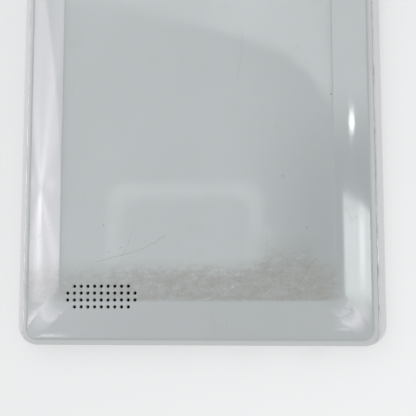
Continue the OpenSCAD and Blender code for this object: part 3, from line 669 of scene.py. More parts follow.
def make_rocker():
    """The volume rocker: its cap, plate, pin and two nubs."""
    low, high = box_mm("volume_rocker")
    _, y, z = middle(low, high)
    length_out = high.y - low.y - 2.4
    plate_x = -56.5
    pin_x = -56.2
    nub_x = -56.0
    nub_reach = high.x - nub_x
    shape = Shape()
    # the cap's +Z points out of the side, its X runs along the case
    place = Matrix(((0, 0, -1, plate_x), (1, 0, 0, y), (0, -1, 0, z), (0, 0, 0, 1)))
    ribs = [side * (length_out / 2 - 1.6 - 0.9 * k) for side in (-1, 1) for k in range(3)]
    edge_cap(shape, place, length_out, 2.0, plate_x - low.x, -0.1, ribs)
    shape.block((plate_x, low.y, z - 1.5), (plate_x + 0.6, high.y, z + 1.5))
    shape.rod(pin_x, y, 0.55, low.z, high.z)
    turn = Matrix.Rotation(math.radians(90), 4, "Y")
    for side in (-6, 6):
        nub = Matrix.Translation((nub_x, y + side, z)) @ turn
        shape.turned([(0.8, 0), (0.8, nub_reach - 0.1), (0.7, nub_reach)], nub, 24)
    return place_shape("volume_rocker_cap", shape)


def make_slider(s):
    """The power slider: its cap, its plate and the fork that moves the switch."""
    low, high = box_mm("power_slider")
    x, _, z = middle(low, high)
    plate_y = s.in_y - 0.8
    shape = Shape()
    # the cap's +Z points out of the top end
    place = Matrix(((-1, 0, 0, x), (0, 0, 1, plate_y), (0, 1, 0, z), (0, 0, 0, 1)))
    edge_cap(shape, place, high.x - low.x - 5.8, 2.0, high.y - plate_y, 0.3,
             [-1.8, -0.9, 0.0, 0.9, 1.8])
    shape.block((low.x, plate_y, z - 1.5), (high.x, plate_y + 0.6, z + 1.5))
    shape.block((x - 1, low.y, z - 0.6), (x + 1, plate_y + 0.2, z + 0.6))
    return place_shape("power_slider_cap", shape)


# ---- finishes ----


class Finish:
    """A material, and short ways to add the nodes that it is made of."""

    def __init__(self, name):
        self.material = bpy.data.materials.new(FINISH_PREFIX + name)
        self.material.use_nodes = True
        self.tree = self.material.node_tree
        self.tree.nodes.clear()
        self.shader = self.add("ShaderNodeBsdfPrincipled")
        output = self.add("ShaderNodeOutputMaterial")
        self.tree.links.new(self.shader.outputs[0], output.inputs[0])
        spot = self.add("ShaderNodeTexCoord")
        scaled = self.add("ShaderNodeVectorMath", operation="SCALE")
        self.tree.links.new(spot.outputs["Object"], scaled.inputs[0])
        scaled.inputs["Scale"].default_value = 1 / MM
        self.place = scaled.outputs[0]

    def add(self, kind, **settings):
        """Adds a node with the given settings."""
        node = self.tree.nodes.new(kind)
        for name, value in settings.items():
            setattr(node, name, value)
        return node

    def feed(self, socket, value):
        """Links another node's output to a socket, or sets the socket to a plain value."""
        if isinstance(value, bpy.types.NodeSocket):
            self.tree.links.new(value, socket)
        else:
            socket.default_value = value

    def set(self, name, value):
        """Feeds one of the shader's own inputs."""
        if name == "Base Color" and not isinstance(value, bpy.types.NodeSocket):
            value = (*value, 1)
        self.feed(self.shader.inputs[name], value)

    def math(self, operation, a, b=0.0, clamp=False):
        node = self.add("ShaderNodeMath", operation=operation, use_clamp=clamp)
        self.feed(node.inputs[0], a)
        self.feed(node.inputs[1], b)
        return node.outputs[0]

    def times(self, first, *others):
        """Product of two or more values."""
        for other in others:
            first = self.math("MULTIPLY", first, other)
        return first

    def axes(self):
        """The place on the piece as X, Y and Z in millimetres."""
        node = self.add("ShaderNodeSeparateXYZ")
        self.feed(node.inputs[0], self.place)
        return node.outputs

    def stretched(self, stretch=(1, 1, 1), turn=0.0, shift=(0, 0, 0)):
        """The place on the piece, turned about Z and stretched, for a texture."""
        node = self.add("ShaderNodeMapping", vector_type="TEXTURE")
        self.feed(node.inputs["Vector"], self.place)
        node.inputs["Location"].default_value = shift
        node.inputs["Rotation"].default_value = (0, 0, math.radians(turn))
        node.inputs["Scale"].default_value = stretch
        return node.outputs[0]

    def noise(self, size, detail=3.0, rough=0.55, vector=None):
        """Cloudy noise from 0 to 1, whose features are about size millimetres wide."""
        node = self.add("ShaderNodeTexNoise")
        self.feed(node.inputs["Vector"], vector or self.place)
        node.inputs["Scale"].default_value = 1 / size
        node.inputs["Detail"].default_value = detail
        node.inputs["Roughness"].default_value = rough
        return node.outputs["Fac"]

    def cells(self, size, feature="F1", vector=None):
        """Distance within cells that are about size millimetres wide."""
        node = self.add("ShaderNodeTexVoronoi", feature=feature)
        self.feed(node.inputs["Vector"], vector or self.place)
        node.inputs["Scale"].default_value = 1 / size
        return node.outputs["Distance"]

    def step(self, value, low, high, start=0.0, end=1.0):
        """Rises smoothly from start to end as value goes from low to high."""
        node = self.add("ShaderNodeMapRange", interpolation_type="SMOOTHSTEP")
        for socket, number in zip(("Value", "From Min", "From Max", "To Min", "To Max"),
                                  (value, low, high, start, end)):
            self.feed(node.inputs[socket], number)
        return node.outputs[0]

    def blend(self, amount, a, b):
        """Goes from colour a to colour b as amount goes from 0 to 1."""
        node = self.add("ShaderNodeMix", data_type="RGBA", blend_type="MIX")
        node.clamp_factor = True
        self.feed(node.inputs[0], amount)
        for socket, value in ((node.inputs[6], a), (node.inputs[7], b)):
            self.feed(socket, value if isinstance(value, bpy.types.NodeSocket) else (*value, 1))
        return node.outputs[2]

    def total(self, parts):
        """Sum of masks, held at 1."""
        value = parts[0]
        for part in parts[1:]:
            value = self.math("ADD", value, part, True)
        return value

    def relief(self, height, depth, strength=1.0):
        """Bump whose full height is depth millimetres."""
        node = self.add("ShaderNodeBump")
        self.feed(node.inputs["Height"], height)
        node.inputs["Distance"].default_value = depth * MM
        node.inputs["Strength"].default_value = strength
        self.set("Normal", node.outputs[0])

    def worn_edges(self):
        """About 1 on sharp outer edges and 0 elsewhere."""
        geometry = self.add("ShaderNodeNewGeometry")
        return self.step(geometry.outputs["Pointiness"], 0.52, 0.62)


def shaded(shade, share):
    """A colour made darker or lighter."""
    return [share * c for c in shade]


def scratch_group():
    """A node group that marks a thin line from one place to another, seen from above."""
    tree = bpy.data.node_groups.new("Scratch line", "ShaderNodeTree")
    for name, kind in (("Place", "NodeSocketVector"), ("Start", "NodeSocketVector"),
                       ("End", "NodeSocketVector"), ("Width", "NodeSocketFloat")):
        tree.interface.new_socket(name, in_out="INPUT", socket_type=kind)
    tree.interface.new_socket("Line", in_out="OUTPUT", socket_type="NodeSocketFloat")
    given = tree.nodes.new("NodeGroupInput")
    result = tree.nodes.new("NodeGroupOutput")

    def vector(operation, a, b):
        node = tree.nodes.new("ShaderNodeVectorMath")
        node.operation = operation
        tree.links.new(a, node.inputs[0])
        tree.links.new(b, node.inputs["Scale"] if operation == "SCALE" else node.inputs[1])
        return node.outputs["Value" if operation in ("DOT_PRODUCT", "DISTANCE") else "Vector"]

    flat = tree.nodes.new("ShaderNodeVectorMath")
    flat.operation = "MULTIPLY"
    flat.inputs[1].default_value = (1, 1, 0)
    tree.links.new(given.outputs["Place"], flat.inputs[0])
    along = vector("SUBTRACT", given.outputs["End"], given.outputs["Start"])
    out = vector("SUBTRACT", flat.outputs[0], given.outputs["Start"])
    share = tree.nodes.new("ShaderNodeMath")
    share.operation = "DIVIDE"
    share.use_clamp = True
    tree.links.new(vector("DOT_PRODUCT", out, along), share.inputs[0])
    tree.links.new(vector("DOT_PRODUCT", along, along), share.inputs[1])
    nearest = vector("SCALE", along, share.outputs[0])
    apart = vector("DISTANCE", out, nearest)
    fade = tree.nodes.new("ShaderNodeMapRange")
    fade.interpolation_type = "SMOOTHSTEP"
    tree.links.new(apart, fade.inputs["Value"])
    tree.links.new(given.outputs["Width"], fade.inputs["From Max"])
    fade.inputs["To Min"].default_value = 1
    fade.inputs["To Max"].default_value = 0
    tree.links.new(fade.outputs[0], result.inputs[0])
    return tree


# Long scratches: a line of places on the cover, its width and its strength.
SCRATCHES = [
    (((-32.9, -68.1), (-24.0, -65.9), (-18.1, -64.3), (-13.2, -62.1), (-9.9, -59.5)), 0.28, 0.45),
    (((-20.1, -56.2), (-22.0, -62.0), (-24.9, -69.2)), 0.22, 0.35),
    (((22.4, -68.7), (24.9, -67.1)), 0.25, 0.5),
    (((38.5, -66.9), (33.7, -74.5)), 0.3, 0.75),
    (((28.1, -66.2), (27.4, -77.3)), 0.22, 0.45),
    (((29.3, -72.6), (30.2, -79.8)), 0.22, 0.45),
    (((15.7, 7.4), (14.0, -8.1)), 0.22, 0.35),
]
# Small dark spots: place, radius and strength.
SPOTS = [
    ((-30.3, -56.1), 0.35, 0.8), ((-24.3, -63.3), 0.3, 0.6), ((-21.9, -61.4), 0.3, 0.6),
    ((-28.3, -64.9), 0.3, 0.6), ((-44.9, -85.3), 0.4, 0.7), ((35.8, -57.6), 0.35, 0.6),
    ((44.1, -14.2), 0.45, 0.8), ((28.4, -40.8), 0.9, 0.25), ((22.0, -25.6), 0.4, 0.3),
    ((25.9, -24.7), 0.4, 0.3),
]


def marks(f, listed, group):
    """The listed scratches and spots as one mask."""
    wobble = f.add("ShaderNodeTexNoise")
    wobble.inputs["Scale"].default_value = 0.35
    f.feed(wobble.inputs["Vector"], f.place)
    shift = f.add("ShaderNodeVectorMath", operation="MULTIPLY_ADD")
    f.feed(shift.inputs[0], wobble.outputs["Color"])
    shift.inputs[1].default_value = (1.2, 1.2, 0)
    shift.inputs[2].default_value = (-0.6, -0.6, 0)
    moved = f.add("ShaderNodeVectorMath", operation="ADD")
    f.feed(moved.inputs[0], f.place)
    f.feed(moved.inputs[1], shift.outputs[0])
    parts = []
    for path, width, strength in listed:
        for start, end in zip(path, path[1:]):
            node = f.add("ShaderNodeGroup")
            node.node_tree = group
            f.feed(node.inputs["Place"], moved.outputs[0])
            node.inputs["Start"].default_value = (*start, 0)
            node.inputs["End"].default_value = (*end, 0)
            node.inputs["Width"].default_value = width
            parts.append(f.times(node.outputs[0], strength))
    return f.total(parts)


def hairlines(f, turn, length_mm, width_mm, density):
    """Thin straight scuffs that lie more or less one way."""
    vector = f.stretched((length_mm, width_mm, 5), turn, (turn, 3 * turn, 0))
    lines = f.noise(1.0, 2.0, 0.5, vector)
    thin = f.step(f.math("ABSOLUTE", f.math("SUBTRACT", lines, 0.5)), 0.0, 0.012, 1.0, 0.0)
    patches = f.noise(14, 2.0, 0.6, f.stretched((1, 1, 1), 0, (5 * turn, turn, 0)))
    return f.times(thin, f.step(patches, density, density + 0.12))


def case_finish(colours, s):
    """Glossy white moulding with scuffs, hairlines, listed scratches, dirt and painted shade in the
    seam, and painted light on the rim and skirt.
    """
    f = Finish("case_white")
    x, y, z = f.axes()
    cloud = f.noise(38, 3.0, 0.5)
    fine = f.noise(2.2, 4.0, 0.6)
    base = f.blend(f.step(cloud, 0.3, 0.7), shaded(colours.case, 0.965), colours.case)
    base = f.blend(f.times(f.step(fine, 0.5, 0.75), 0.25), base, shaded(colours.case, 0.93))
    # painted light: the rim below the seam and the skirt below the crease get a lighter copy of the
    # case white
    side = f.step(f.math("ABSOLUTE", x), s.seam_x - 0.3, s.seam_x + 0.2)
    base = f.blend(f.times(side, f.step(z, s.seam_level + 0.6, s.seam_level - 0.2)),
                   base, colours.case_edge)
    skirt = f.step(z, s.crease + 0.1, s.crease - 0.6)
    base = f.blend(f.times(skirt, 0.6), base, colours.case_edge)
    # the scuffed band low on the back, sharp toward the end and fading upward
    waver = f.times(f.math("SUBTRACT", f.noise(9, 2.0), 0.5), 2.4)
    level = f.math("ADD", y, waver)
    band = f.times(f.step(y, -81.4, -79.6), f.step(level, -66.0, -74.5),
                   f.step(x, -46, -8, 0.45, 1.0), f.step(x, 50, 40))
    patch = f.times(f.step(x, 16, 27), f.step(x, 42, 34), f.step(level, -57, -71),
                    f.step(y, -80.8, -79.8))
    streaks = f.noise(1.0, 4.0, 0.7, f.stretched((3.4, 2.0, 4), 8))
    grain = f.noise(1.0, 6.0, 0.8, f.stretched((0.8, 0.6, 2), 30))
    rub = f.step(f.math("ADD", f.times(streaks, 0.5), f.times(grain, 0.5)),
                 0.30, 0.60)
    # the marks are on the back only, not on the face
    back = f.step(z, s.seam_level + 1, s.seam_level + 2)
    worn = f.times(f.total([band, f.times(patch, 0.7)]), rub, back)
    listed = [((place, place), radius, strength) for place, radius, strength in SPOTS]
    group = scratch_group()
    lines = f.times(marks(f, SCRATCHES, group), back)
    spots = f.times(marks(f, listed, group), back)
    hairs = f.total([hairlines(f, 24, 26, 0.5, 0.55), hairlines(f, -57, 18, 0.45, 0.58),
                     hairlines(f, 81, 30, 0.5, 0.6)])
    dust = f.times(f.step(f.cells(5.2), 0.035, 0.015), f.step(f.noise(21, 2.0), 0.5, 0.62))
    # dirt that gathers in the seam, with painted shade in the seam's gap
    gap = f.step(f.math("ABSOLUTE", f.math("SUBTRACT", z, s.seam_level + 0.05)), 0.24, 0.06)
    seam = f.times(gap, f.step(f.math("ABSOLUTE", x), s.seam_x - 1.3, s.seam_x - 0.5),
                   f.step(f.noise(6, 4.0, 0.7), 0.4, 0.75, 0.3, 1.0))
    chips = f.times(f.step(f.noise(1.7, 2.0), 0.70, 0.76), side)
    colour = base
    for mask, strength in ((worn, 0.55), (lines, 0.6), (hairs, 0.24), (dust, 0.5)):
        colour = f.blend(f.times(mask, strength), colour, colours.grime)
    colour = f.blend(spots, colour, shaded(colours.grime, 0.6))
    # the seam gets dirt and painted shade; the rim's chips are wear
    colour = f.blend(f.times(f.total([seam, f.times(chips, 0.4)]), 0.6),
                     colour, colours.grime)
    f.set("Base Color", colour)
    rough = f.step(f.noise(11, 3.0), 0.3, 0.7, 0.05, 0.085)
    rough = f.math("ADD", rough, f.times(worn, 0.3))
    rough = f.math("ADD", rough, f.times(f.total([hairs, lines, seam]), 0.25))
    f.set("Roughness", rough)
    f.set("Specular IOR Level", 0.5)
    pits = f.times(f.total([lines, f.times(hairs, 0.3)]), -0.6)
    height = f.math("ADD", f.times(f.noise(7, 1.0), 0.35), pits)
    f.relief(height, 0.012, 0.5)


def moulded(name, shade, rough, grain, depth, wear=0.25):
    """Moulded plastic: cloudy colour, fine grain and lighter edges."""
    f = Finish(name)
    cloud = f.step(f.noise(9, 3.0), 0.3, 0.7)
    colour = f.blend(cloud, shaded(shade, 0.9), shade)
    pale = [min(1.0, c * 1.25 + 0.03) for c in shade]
    f.set("Base Color", f.blend(f.times(f.worn_edges(), wear), colour, pale))
    texture = f.noise(grain, 3.0, 0.6)
    f.set("Roughness", f.step(texture, 0.3, 0.7, rough - 0.05, rough + 0.07))
    f.relief(texture, depth)


def metal(name, shade, rough, stretch, depth=0.004):
    """Sheet or cast metal with rolling marks and faint stains."""
    f = Finish(name)
    lines = f.noise(1.0, 4.0, 0.65, f.stretched(stretch, 8))
    stain = f.step(f.noise(6, 3.0), 0.45, 0.75)
    colour = f.blend(f.step(lines, 0.3, 0.7), shaded(shade, 0.88), shade)
    f.set("Base Color", f.blend(f.times(stain, 0.35), colour, shaded(shade, 0.7)))
    f.set("Metallic", 1.0)
    f.set("Roughness", f.step(lines, 0.25, 0.75, rough - 0.08, rough + 0.1))
    f.relief(lines, depth)


def circuit(name, shade):
    """Solder mask over copper tracks, with small tinned pads."""
    f = Finish(name)
    tracks = f.cells(2.4, "DISTANCE_TO_EDGE", f.stretched((1, 1, 30)))
    copper = f.step(tracks, 0.06, 0.03)
    colour = f.blend(copper, shade, [1.7 * c + 0.01 for c in shade])
    colour = f.blend(f.step(f.noise(12, 2.0), 0.4, 0.7), colour, shaded(shade, 0.8))
    pads = f.step(f.cells(1.3, vector=f.stretched((1, 1, 30), 0, (3, 1, 0))), 0.2, 0.16)
    pads = f.times(pads, f.step(f.noise(8, 1.0), 0.5, 0.56))
    f.set("Base Color", f.blend(pads, colour, (0.7, 0.66, 0.52)))
    f.set("Metallic", f.times(pads, 0.9))
    f.set("Roughness", f.step(f.noise(3, 3.0), 0.3, 0.7, 0.28, 0.4))
    f.relief(f.math("ADD", copper, pads), 0.02)


def woven(name, shade, thread):
    """Fine cloth: two sets of threads that cross."""
    f = Finish(name)
    bands = []
    for direction in ("X", "Y"):
        wave = f.add("ShaderNodeTexWave", bands_direction=direction)
        f.feed(wave.inputs["Vector"], f.place)
        wave.inputs["Scale"].default_value = 0.314 / thread
        wave.inputs["Distortion"].default_value = 0.6
        bands.append(wave.outputs["Fac"])
    weave = f.math("MAXIMUM", *bands)
    # painted shade: the gaps between the threads are painted darker
    f.set("Base Color", f.blend(weave, shaded(shade, 0.35), shaded(shade, 1.5)))
    f.set("Roughness", f.step(weave, 0.0, 1.0, 0.95, 0.75))
    f.relief(weave, 0.08)


def cellular(name, shade):
    """Closed-cell foam."""
    f = Finish(name)
    holes = f.cells(0.35)
    # painted shade: the pits of the cells are painted darker
    f.set("Base Color", f.blend(f.step(holes, 0.2, 0.6), shaded(shade, 0.5), shaded(shade, 1.4)))
    f.set("Roughness", f.step(f.noise(1, 2.0), 0.3, 0.7, 0.8, 0.95))
    f.relief(holes, 0.06)


def crinkled(name, shade, metallic, rough, size, depth):
    """Foil or thin film with shallow creases."""
    f = Finish(name)
    folds = f.cells(size, "DISTANCE_TO_EDGE")
    colour = f.blend(f.step(f.noise(size, 3.0), 0.35, 0.7), shaded(shade, 0.88), shade)
    # painted shade: the creases are painted darker
    f.set("Base Color", f.blend(f.step(folds, 0.05, 0.0), colour, shaded(shade, 0.75)))
    f.set("Metallic", metallic)
    f.set("Roughness", f.step(f.noise(2, 3.0), 0.3, 0.7, rough - 0.04, rough + 0.08))
    f.relief(f.step(folds, 0.0, 0.25), depth)


def clear(name, shade, share, rough):
    """Clear or half clear plastic and glass."""
    f = Finish(name)
    haze = f.noise(5, 3.0)
    f.set("Base Color", f.blend(haze, shaded(shade, 0.93), shade))
    f.set("Transmission Weight", share)
    f.set("Roughness", f.step(haze, 0.3, 0.7, rough, rough + 0.08))
    f.relief(f.noise(3, 2.0), 0.006)


def assorted(name, shades, rough):
    """Small separate parts, each with one of several colours."""
    f = Finish(name)
    geometry = f.add("ShaderNodeNewGeometry")
    pick = geometry.outputs["Random Per Island"]
    colour = shades[0]
    for k, shade in enumerate(shades[1:], 1):
        edge = k / len(shades)
        colour = f.blend(f.step(pick, edge - 0.001, edge + 0.001), colour, shade)
    spots = f.times(f.step(f.noise(0.6, 3.0), 0.55, 0.75), 0.3)
    f.set("Base Color", f.blend(spots, colour, (0.5, 0.47, 0.42)))
    f.set("Roughness", f.step(f.noise(1.4, 3.0), 0.3, 0.7, rough - 0.06, rough + 0.1))
    f.relief(f.noise(0.5, 3.0), 0.01)


def make_finishes(context):
    """Makes the finish of every material slot in the record."""
    colours = context.scene.reader_finishes
    chosen = SimpleNamespace(**{name: tuple(getattr(colours, name))
                                for name in ("case", "case_edge", "grime", "key")})
    case_finish(chosen, case_sizes(context))
    moulded("key_white", chosen.key, 0.26, 0.5, 0.006)
    moulded("screen_film", (0.55, 0.57, 0.54), 0.55, 0.18, 0.004, 0.0)
    clear("screen_glass", (0.3, 0.34, 0.33), 0.5, 0.05)
    cellular("foam", (0.05, 0.05, 0.055))
    crinkled("ribbon_film", (0.42, 0.19, 0.03), 0.0, 0.28, 4.0, 0.02)
    moulded("connector_ivory", (0.72, 0.67, 0.52), 0.42, 0.3, 0.008)
    metal("chassis_metal", (0.6, 0.61, 0.63), 0.42, (0.5, 0.5, 0.5), 0.012)
    metal("screw_steel", (0.62, 0.62, 0.64), 0.26, (0.9, 0.3, 0.9))
    circuit("circuit_board", (0.02, 0.13, 0.07))
    moulded("chip_resin", (0.022, 0.022, 0.025), 0.5, 0.16, 0.01)
    assorted("small_parts", ((0.30, 0.20, 0.12), (0.06, 0.06, 0.065), (0.48, 0.4, 0.3)), 0.45)
    metal("tinned_steel", (0.7, 0.7, 0.69), 0.3, (8, 0.35, 2))
    crinkled("battery_foil", (0.58, 0.6, 0.62), 0.85, 0.34, 9.0, 0.05)
    moulded("tape_black", (0.03, 0.03, 0.033), 0.62, 0.25, 0.015, 0.0)
    assorted("lead_sleeve", ((0.42, 0.02, 0.02), (0.02, 0.02, 0.022), (0.5, 0.5, 0.5)), 0.42)
    moulded("black_plastic", (0.022, 0.022, 0.024), 0.44, 0.2, 0.012)
    metal("magnet_nickel", (0.62, 0.6, 0.56), 0.22, (2, 2, 2))
    crinkled("cone_film", (0.07, 0.07, 0.075), 0.0, 0.36, 3.0, 0.03)
    woven("speaker_fabric", (0.014, 0.014, 0.015), 0.22)
    moulded("card_plastic", (0.03, 0.03, 0.035), 0.4, 0.22, 0.008)
    metal("switch_metal", (0.58, 0.58, 0.56), 0.32, (3, 0.4, 1))
    moulded("pivot_plastic", (0.32, 0.32, 0.33), 0.4, 0.3, 0.006)
    crinkled("dome_film", (0.6, 0.52, 0.3), 0.0, 0.3, 5.0, 0.015)
    clear("clear_plastic", (0.9, 0.93, 0.95), 0.8, 0.06)
    clear("lamp_resin", (0.85, 0.8, 0.42), 0.4, 0.12)


def finish_of(context, slot):
    """A slot's finish, made with all the others when the first one is asked for."""
    if FINISH_PREFIX + slot not in bpy.data.materials:
        make_finishes(context)
    return bpy.data.materials[FINISH_PREFIX + slot]


# ---- studio ----

CAMERA_SPOT = Vector((33.1, -82.2, 284.1)) * MM
CAMERA_AIM = Vector((2.77, -49.42, 0.0)) * MM
CAMERA_LENS = 73.6
PANEL_LEVEL = 420.0
SKY_STRENGTH = 0.93


def make_camera():
    """The camera, aimed down at the lower part of the case."""
    camera = bpy.data.objects.new("Camera", bpy.data.cameras.new("Camera"))
    bpy.context.scene.collection.objects.link(camera)
    camera.data.lens = CAMERA_LENS
    camera.data.sensor_width = 36
    camera.data.clip_start = 0.01
    back = (CAMERA_SPOT - CAMERA_AIM).normalized()
    right = Vector((0, 1, 0)).cross(back).normalized()
    up = back.cross(right)
    turned = Matrix((right, up, back)).transposed().to_4x4()
    camera.matrix_world = Matrix.Translation(CAMERA_SPOT) @ turned
    bpy.context.scene.camera = camera


def mirrored(s, x, y):
    """Where the camera's line, mirrored by the cover at a place, meets the panels' level."""
    share_x = max(abs(x) - s.flat_x, 0) / s.side_slope
    share_y = max(abs(y) - s.flat_y, 0) / s.end_slope
    share = max(share_x, share_y)
    tilt = s.crown * (0.5 + share) if share > 0 else 0.0
    normal = Vector((0, 0, 1))
    if share_x >= share_y and share > 0:
        normal.x = math.copysign(tilt / s.side_slope, x)
    elif share > 0:
        normal.y = math.copysign(tilt / s.end_slope, y)
    normal.normalize()
    spot = Vector((x, y, s.top - crown_fall(s, share)))
    line = (spot - CAMERA_SPOT / MM).normalized()
    away = line - 2 * line.dot(normal) * normal
    return spot + away * ((PANEL_LEVEL - spot.z) / away.z)


def glow_material(tint):
    """Light panel whose brightness is stored on its points."""
    material = bpy.data.materials.new("light_panel")
    material.use_nodes = True
    tree = material.node_tree
    tree.nodes.clear()
    stored = tree.nodes.new("ShaderNodeAttribute")
    stored.attribute_name = "glow"
    light = tree.nodes.new("ShaderNodeEmission")
    light.inputs["Color"].default_value = (*tint, 1)
    output = tree.nodes.new("ShaderNodeOutputMaterial")
    tree.links.new(stored.outputs["Fac"], light.inputs["Strength"])
    tree.links.new(light.outputs[0], output.inputs[0])
    return material


def light_panel(s, name, material, xs, ys, brightness):
    """A light panel over the cover, as bright as brightness(x, y) where the cover mirrors it."""
    across = len(xs)
    points = [mirrored(s, x, y) * MM for y in ys for x in xs]
    corners = [row * across + k for row in range(len(ys) - 1) for k in range(across - 1)]
    faces = [(k, k + 1, k + across + 1, k + across) for k in corners]
    mesh = bpy.data.meshes.new(name)
    mesh.from_pydata(points, [], faces)
    glow = mesh.attributes.new("glow", "FLOAT", "POINT")
    glow.data.foreach_set("value", [max(0.0, brightness(x, y)) for y in ys for x in xs])
    mesh.materials.append(material)
    panel = place_in_scene(name, mesh)
    panel.visible_camera = False
    panel.visible_diffuse = False
    panel.visible_transmission = False
    panel.visible_shadow = False


def rise(value, low, high):
    """Smooth rise from 0 at low to 1 at high."""
    t = min(max((value - low) / (high - low), 0.0), 1.0)
    return t * t * (3 - 2 * t)


def steps(low, high, count):
    """Evenly spaced values from low to high."""
    return [low + (high - low) * k / count for k in range(count + 1)]


# Edge of the bright sky in the cover's mirror, from the far left to the right side.
SKY_EDGE = [(-60, 24), (-28.8, 18.3), (-12.4, 13.9), (5.4, 8.8), (18.6, 4.6), (29.7, -0.1),
            (36.8, -6.7), (43.4, -16.5), (47.4, -25.1), (50, -40)]


def sky_edge(x):
    """Where the bright sky's edge lies, at a distance across the cover."""
    for (x0, y0), (x1, y1) in zip(SKY_EDGE, SKY_EDGE[1:]):
        if x <= x1:
            return y0 + (y1 - y0) * (x - x0) / (x1 - x0)
    return SKY_EDGE[-1][1]


def frame_distance(x, y, half_w, half_l, radius, mid_x, mid_y):
    """Distance outside a round-cornered frame, negative inside it."""
    dx = abs(x - mid_x) - half_w + radius
    dy = abs(y - mid_y) - half_l + radius
    return math.hypot(max(dx, 0), max(dy, 0)) + min(max(dx, dy), 0) - radius


def middle_glow(x, y):
    """Sky, a faint frame and a short bright tick, in the flat middle."""
    glow = 2.7
    glow += 0.5 * rise(x, 15, -45)
    glow -= 0.9 * rise(x, 10, 45)
    glow -= 1.5 * rise(x, 8, 45) * rise(y, -8, -52)
    glow += 0.8 * rise(x, 2, -22) * rise(y - sky_edge(x), -1.5, 1.5) * rise(y, 45, 20)
    glow += 2.1 * rise(x, -30, 25) * rise(y - sky_edge(x), -0.8, 0.8)
    outer = frame_distance(x, y, 25.5, 22, 6, -3.6, -64.5)
    inner = frame_distance(x, y, 21, 17, 5, -3.6, -64.5)
    ring = rise(outer, 0.5, -0.5) * rise(inner, -0.6, 0.6) * rise(y, -74, -62)
    glow += 1.3 * ring
    glow += 3.2 * rise(abs(x - 23.7), 0.8, 0.2) * rise(abs(y + 60), 3.2, 1.5)
    return glow


# Spokes of the left panel: turn from the vertical and half width, in degrees, and brightness.
SPOKES_UP = ((-5.5, 3.0, 4.5), (6, 3.2, 5.0), (16, 5, 2.5))
SPOKES_DOWN = ((0, 2.4, 9.5), (14, 4, 4.5), (-8, 3.5, 3.5))


def left_glow(x, y):
    """A soft panel with spokes that meet low on the left side."""
    out = -x
    wide = 44.7 + 0.0012 * (y + 55) ** 2
    glow = 3.3 + 2.5 * rise(out, wide - 0.4, wide + 0.5)
    dx = x + 52.2
    dy = y + 43.6
    drop = abs(dy)
    for turn, width, strength in SPOKES_DOWN if dy < 0 else SPOKES_UP:
        offset = dx - drop * math.tan(math.radians(turn))
        breadth = 0.35 + drop * math.tan(math.radians(width))
        share = 0.2 + 0.8 * math.exp(-drop / 24)
        glow += strength * share * math.exp(-(offset / breadth) ** 2) * rise(drop, 0.3, 3)
    glow += 2.5 * math.exp(-((abs(dx) - 3.6) / 1.8) ** 2 - ((dy - 1.5) / 2.6) ** 2)
    glow -= 1.4 * rise(out, 53.5, 55.5)
    return glow - 2.6 * rise(y, -66, -80)


def right_glow(x, y):
    """A tall bright window with a small oval above it, in the right margin."""
    edge = -47.2 - 0.6 * (x - 48.3)
    window = rise(y - edge, 0.4, -0.4) * rise(x, 46.9, 47.9)
    glow = 0.5 + 3.0 * rise(y, -38, -8)
    glow += 6.9 * window * rise(y, -84.5, -77.5)
    glow += 3.6 * window * rise(abs(x - 53.2), 1.4, 0.3) * rise(y, -80, -70)
    glow += 4.0 * rise(x, 49, 51.5) * rise(y, -79, -82) * rise(y, -90, -84)
    oval = math.hypot(x - 50.6, (y + 23.3) / 3.7)
    return glow + 18 * rise(oval, 1.25, 0.6)


def end_glow(x, y):
    """Glints at the two corners of the bottom margin."""
    glow = 1.6 + 0.9 * rise(x, 20, -50)
    corner = abs((y + 85.3) - 0.7 * (x + 51.5)) / 1.22
    mottle = 0.75 + 0.25 * math.sin(2.3 * x + 1.1 * y) * math.sin(1.7 * y - 0.9 * x)
    glow += 8.0 * mottle * rise(corner, 3.2, 0.6) * rise(x, -57, -54.5) * rise(x, -45.5, -50)
    glow += 5.0 * rise(abs(x - 50.5), 5.5, 2.5) * rise(abs(y + 85.5), 4.5, 1.5)
    glow += 4.0 * rise(abs(y + 89.6), 0.5, 0.2) * rise(x, 44, 46) * rise(x, 53, 51)
    return glow + 6.5 * rise(abs(y + 91.9), 0.5, 0.15) * rise(x, -42, -45)


def make_floor(shade):
    """A wide pale floor that glows a little, more so to the lower right."""
    size = 6000
    floor = place_shape("floor", Shape().plate(0, 0, size, size, 100, -20, 0))
    paint = Finish("floor_paint")
    paint.set("Base Color", paint.blend(paint.noise(300, 2.0), shaded(shade, 0.985), shade))
    paint.set("Roughness", paint.step(paint.noise(5, 3.0), 0.3, 0.7, 0.85, 0.95))
    paint.set("Specular IOR Level", 0.0)
    x, y, _ = paint.axes()
    slant = paint.math("SUBTRACT", x, y)
    paint.set("Emission Color", (1, 1, 1, 1))
    paint.set("Emission Strength", paint.step(slant, -120, 220, 0.395, 0.475))
    floor.data.materials.append(paint.material)


def make_sky():
    """Even light from all round."""
    world = bpy.data.worlds.new("Studio")
    bpy.context.scene.world = world
    world.use_nodes = True
    sky = world.node_tree.nodes["Background"]
    sky.inputs["Color"].default_value = (0.98, 0.99, 1.0, 1)
    sky.inputs["Strength"].default_value = SKY_STRENGTH


def make_panels(s):
    """The light panels that the cover mirrors: one over its middle and one over each of its left, right
    and bottom margins.
    """
    cool = glow_material((0.96, 1.0, 1.0))
    warm = glow_material((1.08, 1.0, 1.06))
    apart = 0.01
    light_panel(s, "panel_middle", cool, steps(-s.flat_x, s.flat_x, 296),
                steps(-s.flat_y, 60, 230), middle_glow)
    light_panel(s, "panel_left", warm, steps(-s.crease_x, -s.flat_x - apart, 60),
                steps(-s.flat_y, 80, 300), left_glow)
    light_panel(s, "panel_right", cool, steps(s.flat_x + apart, s.crease_x, 60),
                steps(-s.flat_y - 6, 80, 400), right_glow)
    light_panel(s, "panel_end", warm, steps(-s.crease_x, s.crease_x, 220),
                steps(-s.crease_y, -s.flat_y - apart, 60), end_glow)


